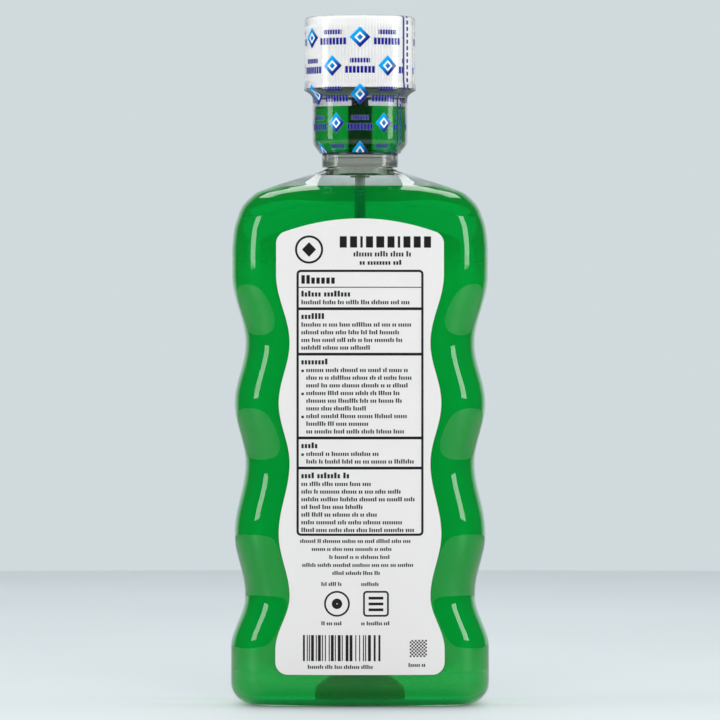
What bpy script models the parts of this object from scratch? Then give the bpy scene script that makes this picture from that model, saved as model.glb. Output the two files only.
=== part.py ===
"""A squeeze bottle of mouthwash with a clear dosing cup, a screw cap and a shrink sleeve.

Lengths are in metres. The bottle stands on z = 0 with its axis on Z.
Its width lies along X and its back label on -Y.
"""

import math

import bmesh
import bpy
from mathutils import Matrix

MM = 0.001

# Clearances and shared overruns
GAP = 0.3 * MM  # between pieces that touch on the real object
ROOT_BITE = 0.4 * MM  # how far a thread's ridge starts inside its wall

# Bottle body: half its width at the base, its bulges and waists, and the rise from each one to the next
BASE_ROUND = 7.0 * MM
BASE_BULGE_HALF = 42.4 * MM
BASE_BULGE_RISE = 11.5 * MM
WAIST_DEPTH = 4.65 * MM  # how much less far the waists and the other bulges reach than the base
BULGE_DEPTH = 1.1 * MM
TOP_BULGE_DEPTH = 0.25 * MM
LOW_WAIST_RISE = 17.5 * MM
LOW_BULGE_RISE = 20.3 * MM
MIDDLE_WAIST_RISE = 23.0 * MM
MIDDLE_BULGE_RISE = 19.6 * MM
HIGH_WAIST_RISE = 19.7 * MM
TOP_BULGE_RISE = 22.4 * MM
TOP_BULGE_LENGTH = 9.0 * MM
HALF_DEPTH = 25.4 * MM
PANEL_RADIUS = 115.0 * MM
SIDE_RUN = 14.4 * MM  # how far the panel's edge stays inside the silhouette
SIDE_PULL_ACROSS = 9.0 * MM
SIDE_PULL_ALONG_SHARE = 0.58
WALL = 0.8 * MM
BASE_WALL = 1.1 * MM

# Base: a flat standing ring round a push-up
STAND_WIDTH = 1.8 * MM
PUSH_UP_HEIGHT = 10.5 * MM
PUSH_UP_SHARES = ((0.92, 0.05), (0.72, 0.13), (0.53, 0.25), (0.4, 0.52), (0.27, 0.8), (0.13, 0.96))

# Shoulder: shares of the way out from the neck to the body, and of the way up from its foot
SHOULDER_RISE = 26.0 * MM
FRONT_SHOULDER_RISE = 13.6 * MM
SHOULDER_SIDE_SHARES = (
    (0.98, 0.226), (0.945, 0.374), (0.89, 0.527), (0.77, 0.675), (0.645, 0.745), (0.46, 0.82), (0.262, 0.895),
)
SHOULDER_FRONT_SHARES = ((0.975, 0.2), (0.9, 0.38), (0.75, 0.545), (0.53, 0.69), (0.28, 0.81), (0.09, 0.92))

# Neck finish
SADDLE_DROP = 2.4 * MM  # from the ridge of the shoulder down to the neck's foot in front
NECK_RADIUS = 10.85 * MM
NECK_WALL = 1.6 * MM
NECK_HEIGHT = 3.2 * MM
BEAD_RISE = 1.5 * MM
BEAD_DEPTH = 0.5 * MM
BEAD_HALF_WIDTH = 0.8 * MM

# Mouthwash and dip tube
FILL_DROP = 6.7 * MM
TUBE_RADIUS = 1.65 * MM
TUBE_BORE_RADIUS = 1.15 * MM
TUBE_END_CLEARANCE = 2.0 * MM

# Labels
LABEL_THICK = 0.3 * MM
LABEL_INSET = 14.8 * MM  # from the silhouette to the label's edge
LABEL_FOOT_RISE = 3.4 * MM
LABEL_TOP_DROP = 0.9 * MM
LABEL_TOP_RADIUS = 71.0 * MM
LABEL_BOTTOM_CORNER = 4.0 * MM
LABEL_TOP_CORNER = 2.6 * MM
LABEL_CORNER_SHARES = (0, 0.3, 1)

# Neck plug
PLUG_FLANGE_THICK = 0.9 * MM
PLUG_WALL = 1.0 * MM
PLUG_DEPTH = 5.0 * MM
PLUG_HUB_WALL = 1.2 * MM
PLUG_HUB_DEPTH = 8.0 * MM
PLUG_PASSAGE_RADIUS = 1.2 * MM
TUBE_GRIP = 6.2 * MM

# Dosing cup: heights are above the underside of its floor
CUP_SKIRT_WALL = 1.35 * MM
CUP_RADIUS = 15.0 * MM
CUP_WALL = 1.1 * MM
CUP_FLOOR_THICK = 1.2 * MM
CUP_CONE_HEIGHT = 3.7 * MM
CUP_HEIGHT = 41.5 * MM
CUP_RIM_ROUND = 0.4 * MM
CUP_BEAD_RISE = 18.9 * MM
CUP_BEAD_DEPTH = 0.35 * MM
CUP_BEAD_HALF_WIDTH = 0.6 * MM
DOSE_RISE = 15.4 * MM

# Standpipe
PIPE_RADIUS = 3.0 * MM
PIPE_WALL = 1.0 * MM
PIPE_RISE = 20.3 * MM
PIPE_ROOF = 1.0 * MM
PIPE_FLANGE_RADIUS = 4.9 * MM
PIPE_FLANGE_THICK = 1.2 * MM
WINDOW_WIDTH = 2.4 * MM
WINDOW_RISE = 16.0 * MM
WINDOW_HEIGHT = 2.7 * MM

# Screw thread of the cup and the cap
THREAD_STARTS = 2
THREAD_LEAD = 8.4 * MM
THREAD_TURNS = 0.8
THREAD_DEPTH = 1.0 * MM
THREAD_DROP = 16.7 * MM  # from the cup's rim down to the thread's foot
THREAD_START_ANGLE = math.radians(3.5)
CUP_THREAD_BASE = 1.7 * MM
CUP_THREAD_CREST = 0.9 * MM
CAP_THREAD_BASE = 1.6 * MM
CAP_THREAD_CREST = 0.8 * MM

# Cap
CAP_HEIGHT = 23.2 * MM
CAP_RIB_DEPTH = 0.4 * MM
CAP_RIBS = 108
CAP_WALL = 1.0 * MM
CAP_ROOF = 1.6 * MM
CAP_EDGE_ROUND = 1.2 * MM
CAP_HEM = 1.2 * MM  # plain band below and above the ribs
LINER_THICK = 1.0 * MM

# Sleeve
FILM = 0.25 * MM
SLEEVE_RIM_WIDTH = 4.0 * MM
SLEEVE_HANG = 0.6 * MM  # how far the upper film reaches below the cap
SLEEVE_DRAW = 3.0 * MM  # height over which the film is drawn in under the cap
SLEEVE_DRAW_SHARES = (0, 0.2, 0.45, 0.7, 1)
STRIP_DIRECTION = math.radians(-29.3)
STRIP_HALF_ANGLE = math.radians(10.0)

# Fineness of round shapes
PANEL_STEPS = 3
SIDE_STEPS = 6
BODY_STEP = 6.2 * MM
ROUND_SIDES = 36
TUBE_SIDES = 16
PIPE_SIDES = 24
THREAD_SIDES = 30
BASE_CORNER_STEPS = 4
CAP_CORNER_STEPS = 3
SHOULDER_STEPS = 2
LABEL_COLUMNS = 6
STRIP_STEPS = 2
SHARP_ANGLE = math.radians(32)
MITRE_LIMIT = math.cos(math.radians(60))

# Places worked out from the sizes above, from the base up
WAIST_HALF = BASE_BULGE_HALF - WAIST_DEPTH
BULGE_HALF = BASE_BULGE_HALF - BULGE_DEPTH
TOP_BULGE_HALF = BASE_BULGE_HALF - TOP_BULGE_DEPTH
BASE_BULGE_TOP = BASE_ROUND + BASE_BULGE_RISE
LOW_WAIST = BASE_BULGE_TOP + LOW_WAIST_RISE
LOW_BULGE = LOW_WAIST + LOW_BULGE_RISE
MIDDLE_WAIST = LOW_BULGE + MIDDLE_WAIST_RISE
MIDDLE_BULGE = MIDDLE_WAIST + MIDDLE_BULGE_RISE
HIGH_WAIST = MIDDLE_BULGE + HIGH_WAIST_RISE
TOP_BULGE = HIGH_WAIST + TOP_BULGE_RISE
SIDE_SHOULDER = TOP_BULGE + TOP_BULGE_LENGTH
SADDLE_TOP = SIDE_SHOULDER + SHOULDER_RISE
NECK_FOOT = SADDLE_TOP - SADDLE_DROP
FRONT_SHOULDER = NECK_FOOT - FRONT_SHOULDER_RISE
NECK_TOP = SADDLE_TOP + NECK_HEIGHT
NECK_BORE = NECK_RADIUS - NECK_WALL
BEAD = SADDLE_TOP + BEAD_RISE
LEVEL = SADDLE_TOP - FILL_DROP
TUBE_FOOT = PUSH_UP_HEIGHT + BASE_WALL + TUBE_END_CLEARANCE
LABEL_BOTTOM = BASE_ROUND + LABEL_FOOT_RISE
LABEL_TOP = FRONT_SHOULDER - LABEL_TOP_DROP
PLUG_TOP = NECK_TOP + GAP + PLUG_FLANGE_THICK
HUB_FOOT = PLUG_TOP - PLUG_HUB_DEPTH
CUP_FOOT = SADDLE_TOP + GAP
CUP_FLOOR = PLUG_TOP + GAP
CUP_FLOOR_TOP = CUP_FLOOR + CUP_FLOOR_THICK
CUP_CONE_TOP = CUP_FLOOR + CUP_CONE_HEIGHT
CUP_BEAD = CUP_FLOOR + CUP_BEAD_RISE
CUP_RIM = CUP_FLOOR + CUP_HEIGHT
CUP_SOCKET = NECK_RADIUS + GAP
CUP_SKIRT_RADIUS = CUP_SOCKET + CUP_SKIRT_WALL
CUP_BORE = CUP_RADIUS - CUP_WALL
DOSE_LEVEL = CUP_FLOOR + DOSE_RISE
PIPE_TOP = CUP_FLOOR + PIPE_RISE
PIPE_FLANGE = CUP_FLOOR_TOP + GAP
WINDOW_SILL = CUP_FLOOR + WINDOW_RISE
WINDOW_HEAD = WINDOW_SILL + WINDOW_HEIGHT
CUP_THREAD_FOOT = CUP_RIM - THREAD_DROP
LINER_FOOT = CUP_RIM + GAP
CAP_CEILING = LINER_FOOT + LINER_THICK + GAP
CAP_TOP = CAP_CEILING + CAP_ROOF
CAP_FOOT = CAP_TOP - CAP_HEIGHT
CAP_BORE = CUP_RADIUS + THREAD_DEPTH + GAP
CAP_PLAIN_RADIUS = CAP_BORE + CAP_WALL
CAP_RADIUS = CAP_PLAIN_RADIUS + CAP_RIB_DEPTH
SLEEVE_SPLIT = CAP_FOOT - SLEEVE_HANG
SLEEVE_FOOT = CUP_FLOOR + GAP

# Colours
CLEAR = (0.86, 0.89, 0.87)
GREEN = (0.0, 0.28, 0.03)
DARK = (0.02, 0.05, 0.02)
NATURAL = (0.75, 0.78, 0.74)
WHITE = (0.85, 0.85, 0.84)
FOAM = (0.8, 0.8, 0.78)
SLEEVE_BLUE = (0.05, 0.3, 0.6)


def clear_scene():
    for thing in list(bpy.data.objects):
        bpy.data.objects.remove(thing)


def material(name, colour, roughness, alpha=1.0):
    made = bpy.data.materials.new(name)
    made.use_nodes = True
    shader = made.node_tree.nodes["Principled BSDF"]
    shader.inputs["Base Color"].default_value = (*colour, 1.0)
    shader.inputs["Roughness"].default_value = roughness
    shader.inputs["Metallic"].default_value = 0.0
    shader.inputs["Alpha"].default_value = alpha
    made.diffuse_color = (*colour, alpha)
    return made


def materials():
    return {
        "pet": material("clear_bottle", CLEAR, 0.05, alpha=0.3),
        "liquid": material("green_liquid", GREEN, 0.05, alpha=0.85),
        "label": material("label_film", WHITE, 0.4),
        "natural": material("natural_plastic", NATURAL, 0.3),
        "cup": material("clear_cup", CLEAR, 0.08, alpha=0.35),
        "dark": material("dark_plastic", DARK, 0.25),
        "cap": material("white_cap", WHITE, 0.35),
        "foam": material("liner_foam", FOAM, 0.8),
        "film": material("printed_film", SLEEVE_BLUE, 0.15, alpha=0.5),
        "strip": material("strip_film", SLEEVE_BLUE, 0.15, alpha=0.5),
    }


def finish(mesh_data, name, look):
    """Turns a bmesh into a named object with its material, smooth where it is round."""
    bmesh.ops.recalc_face_normals(mesh_data, faces=mesh_data.faces)
    mesh = bpy.data.meshes.new(name)
    mesh_data.to_mesh(mesh)
    mesh_data.free()
    mesh.shade_smooth()
    mesh.set_sharp_from_angle(angle=SHARP_ANGLE)
    mesh.materials.append(look)
    made = bpy.data.objects.new(name, mesh)
    bpy.context.scene.collection.objects.link(made)
    return made


def helper(thing):
    """A guide for a Boolean: it is never seen."""
    thing.hide_render = True
    thing.display_type = "WIRE"
    return thing


def combine(target, tool, operation):
    change = target.modifiers.new(tool.name, "BOOLEAN")
    change.operation = operation
    change.object = helper(tool)
    change.solver = "EXACT"


def set_origin(thing, place):
    """Moves an object's origin to a place without moving its shape."""
    thing.data.transform(Matrix.Translation(place).inverted())
    thing.location = place


def carry(thing, carrier):
    """Makes a piece the child of the piece that carries it, where it stands."""
    bpy.context.view_layer.update()
    thing.parent = carrier
    thing.matrix_parent_inverse = carrier.matrix_world.inverted()


def polar(radius, angle, z):
    return (radius * math.cos(angle), radius * math.sin(angle), z)


def arc(centre, radius, start, end, steps):
    """Points of an arc in (r, z), both ends included, angles in degrees."""
    points = []
    for i in range(steps + 1):
        angle = math.radians(start + (end - start) * i / steps)
        points.append((centre[0] + radius * math.cos(angle), centre[1] + radius * math.sin(angle)))
    return points


def interpolate(points, x):
    """The y at x on the polyline of (x, y) points, whose x rises."""
    for (x0, y0), (x1, y1) in zip(points, points[1:]):
        if x <= x1:
            share = (x - x0) / (x1 - x0)
            return y0 + (y1 - y0) * max(share, 0)
    return points[-1][1]


def offset_path(points, distance):
    """The path moved sideways: to the left of its own direction when distance is positive."""
    moved = []
    for i, (r, z) in enumerate(points):
        before = points[max(i - 1, 0)]
        after = points[min(i + 1, len(points) - 1)]
        first = direction(before, (r, z)) if i else direction((r, z), after)
        second = direction((r, z), after) if i < len(points) - 1 else first
        along = (first[0] + second[0], first[1] + second[1])
        size = math.hypot(*along)
        normal = (-along[1] / size, along[0] / size)
        stretch = max(normal[0] * -first[1] + normal[1] * first[0], MITRE_LIMIT)
        moved.append((r + normal[0] * distance / stretch, z + normal[1] * distance / stretch))
    return moved


def direction(start, end):
    run = (end[0] - start[0], end[1] - start[1])
    length = math.hypot(*run)
    return (run[0] / length, run[1] / length)


def loft(name, rings, look, first_pole=None, last_pole=None):
    """Skins a row of rings of equal counts. A pole closes an end in a point; else the end is a flat face."""
    shape = bmesh.new()
    loops = [[shape.verts.new(point) for point in ring] for ring in rings]
    for lower, upper in zip(loops, loops[1:]):
        skin_between(shape, lower, upper)
    for loop, pole in ((loops[0], first_pole), (loops[-1], last_pole)):
        close_end(shape, loop, pole)
    return finish(shape, name, look)


def skin_between(shape, lower, upper):
    """Joins two loops, of which one may hold a whole number of times the other's points."""
    if len(lower) == len(upper):
        split_band(shape, lower + lower[:1], upper + upper[:1])
        return
    if len(lower) < len(upper):
        lower, upper = upper, lower
    many = len(lower) // len(upper)
    for j in range(len(upper)):
        fine = [lower[(j * many + k) % len(lower)] for k in range(many + 1)]
        shape.faces.new(fine + [upper[(j + 1) % len(upper)], upper[j]])


def split_band(shape, low, high):
    """Joins two rows of points by triangles, all split the same way so that thin walls keep even."""
    for a, b, c, d in zip(low, low[1:], high[1:], high):
        shape.faces.new((a, b, c))
        shape.faces.new((a, c, d))


def close_end(shape, loop, pole):
    if pole is None:
        shape.faces.new(loop)
        return
    tip = shape.verts.new(pole)
    for a, b in zip(loop, loop[1:] + loop[:1]):
        shape.faces.new((a, b, tip))


def turned(name, profile, look, sides=ROUND_SIDES):
    """Revolves a closed profile of (r, z) points about Z. Points on the axis become poles."""
    shape = bmesh.new()
    loops = []
    for r, z in profile:
        if r > 0:
            ring = [polar(r, math.tau * j / sides, z) for j in range(sides)]
        else:
            ring = [(0, 0, z)]
        loops.append([shape.verts.new(point) for point in ring])
    for lower, upper in zip(loops, loops[1:] + loops[:1]):
        if len(lower) == 1 and len(upper) == 1:
            continue
        if len(lower) == 1 or len(upper) == 1:
            tip, ring = (lower[0], upper) if len(lower) == 1 else (upper[0], lower)
            for a, b in zip(ring, ring[1:] + ring[:1]):
                shape.faces.new((a, b, tip))
        else:
            skin_between(shape, lower, upper)
    return finish(shape, name, look)


def join_slices(shape, slices):
    """Skins a row of closed slices and shuts both ends with flat faces."""
    for one, two in zip(slices, slices[1:]):
        skin_between(shape, one, two)
    shape.faces.new(slices[0])
    shape.faces.new(slices[-1])


def swept_sector(name, profile, start, end, steps, look):
    """Sweeps a closed profile of (r, z) points about Z from one angle to another, with flat ends."""
    shape = bmesh.new()
    slices = []
    for i in range(steps + 1):
        angle = start + (end - start) * i / steps
        slices.append([shape.verts.new(polar(r, angle, z)) for r, z in profile])
    join_slices(shape, slices)
    return finish(shape, name, look)


def ridge(name, root, crest, foot, start_angle, base, top, look):
    """One start of a right-hand thread: a trapezoid swept along a helix from foot upwards."""
    shape = bmesh.new()
    steps = round(THREAD_SIDES * THREAD_TURNS)
    slices = []
    for i in range(steps + 1):
        turn = THREAD_TURNS * i / steps
        angle = start_angle + math.tau * turn
        height = foot + THREAD_LEAD * turn
        profile = ((root, -base / 2), (crest, -top / 2), (crest, top / 2), (root, base / 2))
        slices.append([shape.verts.new(polar(r, angle, height + rise)) for r, rise in profile])
    join_slices(shape, slices)
    return finish(shape, name, look)


def turning_points():
    """Heights and half widths of the silhouette where it stops growing or shrinking."""
    return (
        (BASE_ROUND, BASE_BULGE_HALF),
        (BASE_BULGE_TOP, BASE_BULGE_HALF),
        (LOW_WAIST, WAIST_HALF),
        (LOW_BULGE, BULGE_HALF),
        (MIDDLE_WAIST, WAIST_HALF),
        (MIDDLE_BULGE, BULGE_HALF),
        (HIGH_WAIST, WAIST_HALF),
        (TOP_BULGE, TOP_BULGE_HALF),
        (SIDE_SHOULDER, TOP_BULGE_HALF),
    )


def wave(z):
    """The silhouette's half width between the base and the shoulder, as half cosines."""
    points = turning_points()
    for (z0, half0), (z1, half1) in zip(points, points[1:]):
        if z <= z1:
            share = (1 - math.cos(math.pi * max((z - z0) / (z1 - z0), 0))) / 2
            return half0 + (half1 - half0) * share
    return points[-1][1]


def body_heights():
    """Ring heights from the top of the base's corner to the foot of the side shoulder."""
    heights = []
    points = turning_points()
    for (z0, _), (z1, _) in zip(points, points[1:]):
        steps = max(round((z1 - z0) / BODY_STEP), 1)
        heights += [z0 + (z1 - z0) * i / steps for i in range(steps)]
    return heights + [points[-1][0]]


def curve_through(points):
    """A Catmull-Rom curve through (size, height) points."""
    padded = [points[0]] + list(points) + [points[-1]]
    fine = []
    for p0, p1, p2, p3 in zip(padded, padded[1:], padded[2:], padded[3:]):
        for i in range(SHOULDER_STEPS):
            t = i / SHOULDER_STEPS
            fine.append(tuple(catmull_rom(a, b, c, d, t) for a, b, c, d in zip(p0, p1, p2, p3)))
    return fine + [tuple(points[-1])]


def catmull_rom(a, b, c, d, t):
    return (2 * b + (c - a) * t + (2 * a - 5 * b + 4 * c - d) * t**2 + (3 * b - a - 3 * c + d) * t**3) / 2


def shoulder(body_half, foot, top, shares):
    """The shoulder's outline from the body up to the neck, as (half size, height) points."""
    reach = body_half - NECK_RADIUS
    points = [(body_half, foot)]
    points += [(NECK_RADIUS + reach * out, foot + (top - foot) * up) for out, up in shares]
    points.append((NECK_RADIUS, top))
    return curve_through(points)


def side_outline():
    """The silhouette seen from the front, from the standing ring up to the neck's top."""
    corner = (BASE_BULGE_HALF - BASE_ROUND, BASE_ROUND)
    points = arc(corner, BASE_ROUND, -90, 0, BASE_CORNER_STEPS * 2)
    points += [(wave(z), z) for z in body_heights()[1:]]
    points += shoulder(TOP_BULGE_HALF, SIDE_SHOULDER, SADDLE_TOP, SHOULDER_SIDE_SHARES)[1:]
    points.append((NECK_RADIUS, NECK_TOP))
    return points


def front_outline():
    """The silhouette seen from the side."""
    corner = (HALF_DEPTH - BASE_ROUND, BASE_ROUND)
    points = arc(corner, BASE_ROUND, -90, 0, BASE_CORNER_STEPS * 2)
    points += shoulder(HALF_DEPTH, FRONT_SHOULDER, NECK_FOOT, SHOULDER_FRONT_SHARES)
    points.append((NECK_RADIUS, NECK_TOP))
    return points


def sizes_at(z, inset):
    """Half width and half depth of the body's section at a height, drawn in by a wall."""
    found = []
    for outline in (side_outline(), front_outline()):
        drawn_in = [(height, half) for half, height in offset_path(outline, inset)]
        found.append(interpolate(drawn_in, z))
    return found


def section(z, inset):
    """Points of the body's outline at a height: gently curved panels and rounded sides, round at the neck."""
    half_width, half_depth = sizes_at(z, inset)
    reference = min(max(z, BASE_ROUND), SIDE_SHOULDER)
    full_width, full_depth = sizes_at(reference, inset)
    shrink = BASE_BULGE_HALF - inset - half_width if z < BASE_ROUND else 0
    width_ratio = 1 if z < BASE_ROUND else half_width / full_width
    depth_ratio = 1 if z < BASE_ROUND else half_depth / full_depth
    rise = (z - FRONT_SHOULDER) / (NECK_FOOT - FRONT_SHOULDER)
    roundness = min(max(rise, 0), 1)
    quarter = panel_and_side(full_width - shrink, full_depth - shrink)
    points = []
    for i, (x, y) in enumerate(quarter):
        angle = math.pi / 2 * i / (len(quarter) - 1)
        round_x = half_width * math.cos(angle)
        round_y = half_depth * math.sin(angle)
        x += (round_x / width_ratio - x) * roundness
        y += (round_y / depth_ratio - y) * roundness
        points.append((x * width_ratio, y * depth_ratio))
    return mirrored(points, z)


def panel_and_side(half_width, half_depth):
    """A quarter of the section, from (half_width, 0) round to (0, half_depth)."""
    edge = half_width - SIDE_RUN
    edge_y = half_depth - edge**2 / (2 * PANEL_RADIUS)
    pull = (edge + SIDE_PULL_ACROSS, edge_y - SIDE_PULL_ACROSS * edge / PANEL_RADIUS)
    nodes = ((half_width, 0), (half_width, edge_y * SIDE_PULL_ALONG_SHARE), pull, (edge, edge_y))
    points = []
    for i in range(SIDE_STEPS):
        t = i / SIDE_STEPS
        weights = ((1 - t) ** 3, 3 * t * (1 - t) ** 2, 3 * t**2 * (1 - t), t**3)
        points.append(tuple(sum(w * node[axis] for w, node in zip(weights, nodes)) for axis in (0, 1)))
    for i in range(PANEL_STEPS + 1):
        x = edge * (1 - i / PANEL_STEPS)
        points.append((x, half_depth - x**2 / (2 * PANEL_RADIUS)))
    return points


def mirrored(quarter, z):
    """The whole outline from its first quarter, counterclockwise."""
    first = [(x, y, z) for x, y in quarter]
    second = [(-x, y, z) for x, y in reversed(quarter[:-1])]
    third = [(-x, -y, z) for x, y in quarter[1:]]
    fourth = [(x, -y, z) for x, y in reversed(quarter[1:-1])]
    return first + second + third + fourth


def ring_angles():
    count = 4 * (PANEL_STEPS + SIDE_STEPS)
    return [math.tau * j / count for j in range(count)]


def circle(radius, z):
    return [polar(radius, angle, z) for angle in ring_angles()]


def push_up_rings(lift, inset):
    """Rings of the base's hollow, from its middle out to the standing ring."""
    rim = scaled(section(0, 0), BASE_BULGE_HALF - BASE_ROUND, HALF_DEPTH - BASE_ROUND, -STAND_WIDTH - inset)
    rings = []
    for share, rise in reversed(PUSH_UP_SHARES):
        rings.append([(x * share, y * share, PUSH_UP_HEIGHT * rise + lift) for x, y, _ in rim])
    rings.append([(x, y, lift) for x, y, _ in rim])
    return rings


def scaled(ring, half_width, half_depth, grow):
    """A ring made larger or smaller by a width all round."""
    across = (half_width + grow) / half_width
    along = (half_depth + grow) / half_depth
    return [(x * across, y * along, z) for x, y, z in ring]


def corner_heights(inset):
    """Ring heights round the base's corner."""
    corner = arc((0, BASE_ROUND), BASE_ROUND - inset, -90, 0, BASE_CORNER_STEPS)
    return [z for _, z in corner[1:-1]]


def shoulder_heights():
    """Ring heights up the shoulder, where either outline bends."""
    span = SADDLE_TOP - SIDE_SHOULDER
    return [SIDE_SHOULDER + span * up for _, up in SHOULDER_SIDE_SHARES] + [NECK_FOOT]


def skin_heights(inset):
    return corner_heights(inset) + body_heights() + sorted(shoulder_heights())


def bottle_shell(look):
    outer = push_up_rings(0, 0)
    outer.append(section(0, 0))
    outer += [section(z, 0) for z in skin_heights(0)]
    for z, radius in neck_profile():
        outer.append(circle(radius, z))
    inner = push_up_rings(BASE_WALL, WALL)
    inner.append(base_floor(WALL, BASE_WALL))
    inner += [drawn_to_bore(section(z, WALL), z, NECK_BORE) for z in skin_heights(WALL) if z > BASE_WALL]
    inner.append(circle(NECK_BORE, SADDLE_TOP))
    inner.append(circle(NECK_BORE, NECK_TOP))
    top_pole = (0, 0, PUSH_UP_HEIGHT)
    return loft(
        "bottle_shell", outer + inner[::-1], look, top_pole, (0, 0, PUSH_UP_HEIGHT + BASE_WALL)
    )


def base_floor(inset, lift):
    """The inner corner's first ring, at the height of the base's floor."""
    floor = section(0, 0)
    return [(x, y, lift) for x, y, _ in scaled(
        floor, BASE_BULGE_HALF - BASE_ROUND, HALF_DEPTH - BASE_ROUND, -inset
    )]


def drawn_to_bore(ring, z, bore):
    """Thickens the wall towards the neck, so that the skin ends on the bore."""
    rise = (z - FRONT_SHOULDER) / (SADDLE_TOP - FRONT_SHOULDER)
    share = min(max(rise, 0), 1) ** 2
    extra = (NECK_WALL - WALL) * share
    points = []
    for x, y, height in ring:
        reach = math.hypot(x, y)
        factor = max(reach - extra, bore) / reach
        points.append((x * factor, y * factor, height))
    return points


def neck_profile():
    return (
        (SADDLE_TOP, NECK_RADIUS),
        (BEAD - BEAD_HALF_WIDTH, NECK_RADIUS),
        (BEAD, NECK_RADIUS + BEAD_DEPTH),
        (BEAD + BEAD_HALF_WIDTH, NECK_RADIUS),
        (NECK_TOP, NECK_RADIUS),
    )


def mouthwash(look):
    inset = WALL + GAP
    lift = BASE_WALL + GAP
    rings = push_up_rings(lift, inset)
    rings.append(base_floor(inset, lift))
    rings += [drawn_to_bore(section(z, inset), z, NECK_BORE - GAP)
              for z in skin_heights(inset) if lift < z < LEVEL]
    rings.append(drawn_to_bore(section(LEVEL, inset), LEVEL, NECK_BORE - GAP))
    rings.append(circle(TUBE_RADIUS + GAP, LEVEL))
    rings.append(circle(TUBE_RADIUS + GAP, TUBE_FOOT - GAP))
    return loft(
        "mouthwash", rings, look, (0, 0, PUSH_UP_HEIGHT + lift), (0, 0, TUBE_FOOT - GAP)
    )


def dip_tube(look):
    top = HUB_FOOT + TUBE_GRIP
    profile = (
        (TUBE_RADIUS, TUBE_FOOT), (TUBE_RADIUS, top), (TUBE_BORE_RADIUS, top), (TUBE_BORE_RADIUS, TUBE_FOOT),
    )
    return turned("dip_tube", profile, look, TUBE_SIDES)


def neck_plug(look):
    """A flange on the neck's top, a skirt in its bore and a hub that holds the dip tube."""
    flange_foot = NECK_TOP + GAP
    flange_radius = NECK_RADIUS - GAP
    skirt = NECK_BORE - GAP
    skirt_foot = NECK_TOP - PLUG_DEPTH
    socket = TUBE_RADIUS + GAP
    hub = socket + PLUG_HUB_WALL
    seat = HUB_FOOT + TUBE_GRIP + GAP
    profile = (
        (flange_radius, flange_foot), (flange_radius, PLUG_TOP), (PLUG_PASSAGE_RADIUS, PLUG_TOP),
        (PLUG_PASSAGE_RADIUS, seat), (socket, seat), (socket, HUB_FOOT),
        (hub, HUB_FOOT), (hub, flange_foot), (skirt - PLUG_WALL, flange_foot),
        (skirt - PLUG_WALL, skirt_foot), (skirt, skirt_foot), (skirt, flange_foot),
    )
    return turned("neck_plug", profile, look, PIPE_SIDES)


def label_reach(z):
    """Half the label's width at a height, were its corners square."""
    return wave(z) - LABEL_INSET


def label_half(z):
    """Half the label's width at a height, with round corners at both ends."""
    corner_top = label_corner_top()
    half = label_reach(z)
    for corner, from_end in ((LABEL_BOTTOM_CORNER, z - LABEL_BOTTOM), (LABEL_TOP_CORNER, corner_top - z)):
        if from_end < corner:
            half -= corner - math.sqrt(max(corner**2 - (corner - from_end) ** 2, 0))
    return half


def label_corner_top():
    """The height at which the arched top edge meets the label's sides."""
    half = TOP_BULGE_HALF - LABEL_INSET
    return LABEL_TOP - half**2 / (2 * LABEL_TOP_RADIUS)


def label_heights():
    top = label_corner_top()
    heights = [LABEL_BOTTOM + LABEL_BOTTOM_CORNER * share for share in LABEL_CORNER_SHARES]
    heights += [z for z in body_heights() if heights[-1] < z < top - LABEL_TOP_CORNER]
    return heights + [top - LABEL_TOP_CORNER * share for share in reversed(LABEL_CORNER_SHARES)]


def label(name, side, look):
    """A film on one panel. It follows the panel's curve, and side is -1 for the back and 1 for the front."""
    heights = label_heights()
    top = heights[-1]
    sheets = []
    for offset in (GAP, GAP + LABEL_THICK):
        rows = []
        for z in heights:
            half = label_half(z)
            reach = label_reach(z)
            row = []
            for i in range(LABEL_COLUMNS + 1):
                x = half * (2 * i / LABEL_COLUMNS - 1)
                arch = (reach**2 - x**2) / (2 * LABEL_TOP_RADIUS)
                lift = arch * (z - LABEL_BOTTOM) / (top - LABEL_BOTTOM)
                y = HALF_DEPTH - x**2 / (2 * PANEL_RADIUS) + offset
                row.append((x, side * y, z + lift))
            rows.append(row)
        sheets.append(rows)
    return sheet_solid(name, sheets, look)


def sheet_solid(name, sheets, look):
    """Closes two grids of equal size, the inner and the outer face, into one thin solid."""
    shape = bmesh.new()
    inner, outer = [[[shape.verts.new(p) for p in row] for row in sheet] for sheet in sheets]
    for grid in (inner, outer):
        for low, high in zip(grid, grid[1:]):
            split_band(shape, low, high)
    edges_in, edges_out = border(inner), border(outer)
    for a, b, c, d in zip(edges_in, edges_in[1:] + edges_in[:1], edges_out[1:] + edges_out[:1], edges_out):
        shape.faces.new((a, b, c, d))
    return finish(shape, name, look)


def border(grid):
    right = [row[-1] for row in grid[1:-1]]
    left = [row[0] for row in grid[1:-1]]
    return grid[0] + right + grid[-1][::-1] + left[::-1]


def cup_outside():
    """The cup's outer side in (r, z), from its skirt's foot to its rim."""
    return [
        (CUP_SKIRT_RADIUS, CUP_FOOT), (CUP_SKIRT_RADIUS, CUP_FLOOR), (CUP_RADIUS, CUP_CONE_TOP),
        (CUP_RADIUS, CUP_BEAD - CUP_BEAD_HALF_WIDTH), (CUP_RADIUS + CUP_BEAD_DEPTH, CUP_BEAD),
        (CUP_RADIUS, CUP_BEAD + CUP_BEAD_HALF_WIDTH),
        (CUP_RADIUS, CUP_RIM - CUP_RIM_ROUND), (CUP_RADIUS - CUP_RIM_ROUND, CUP_RIM),
    ]


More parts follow.
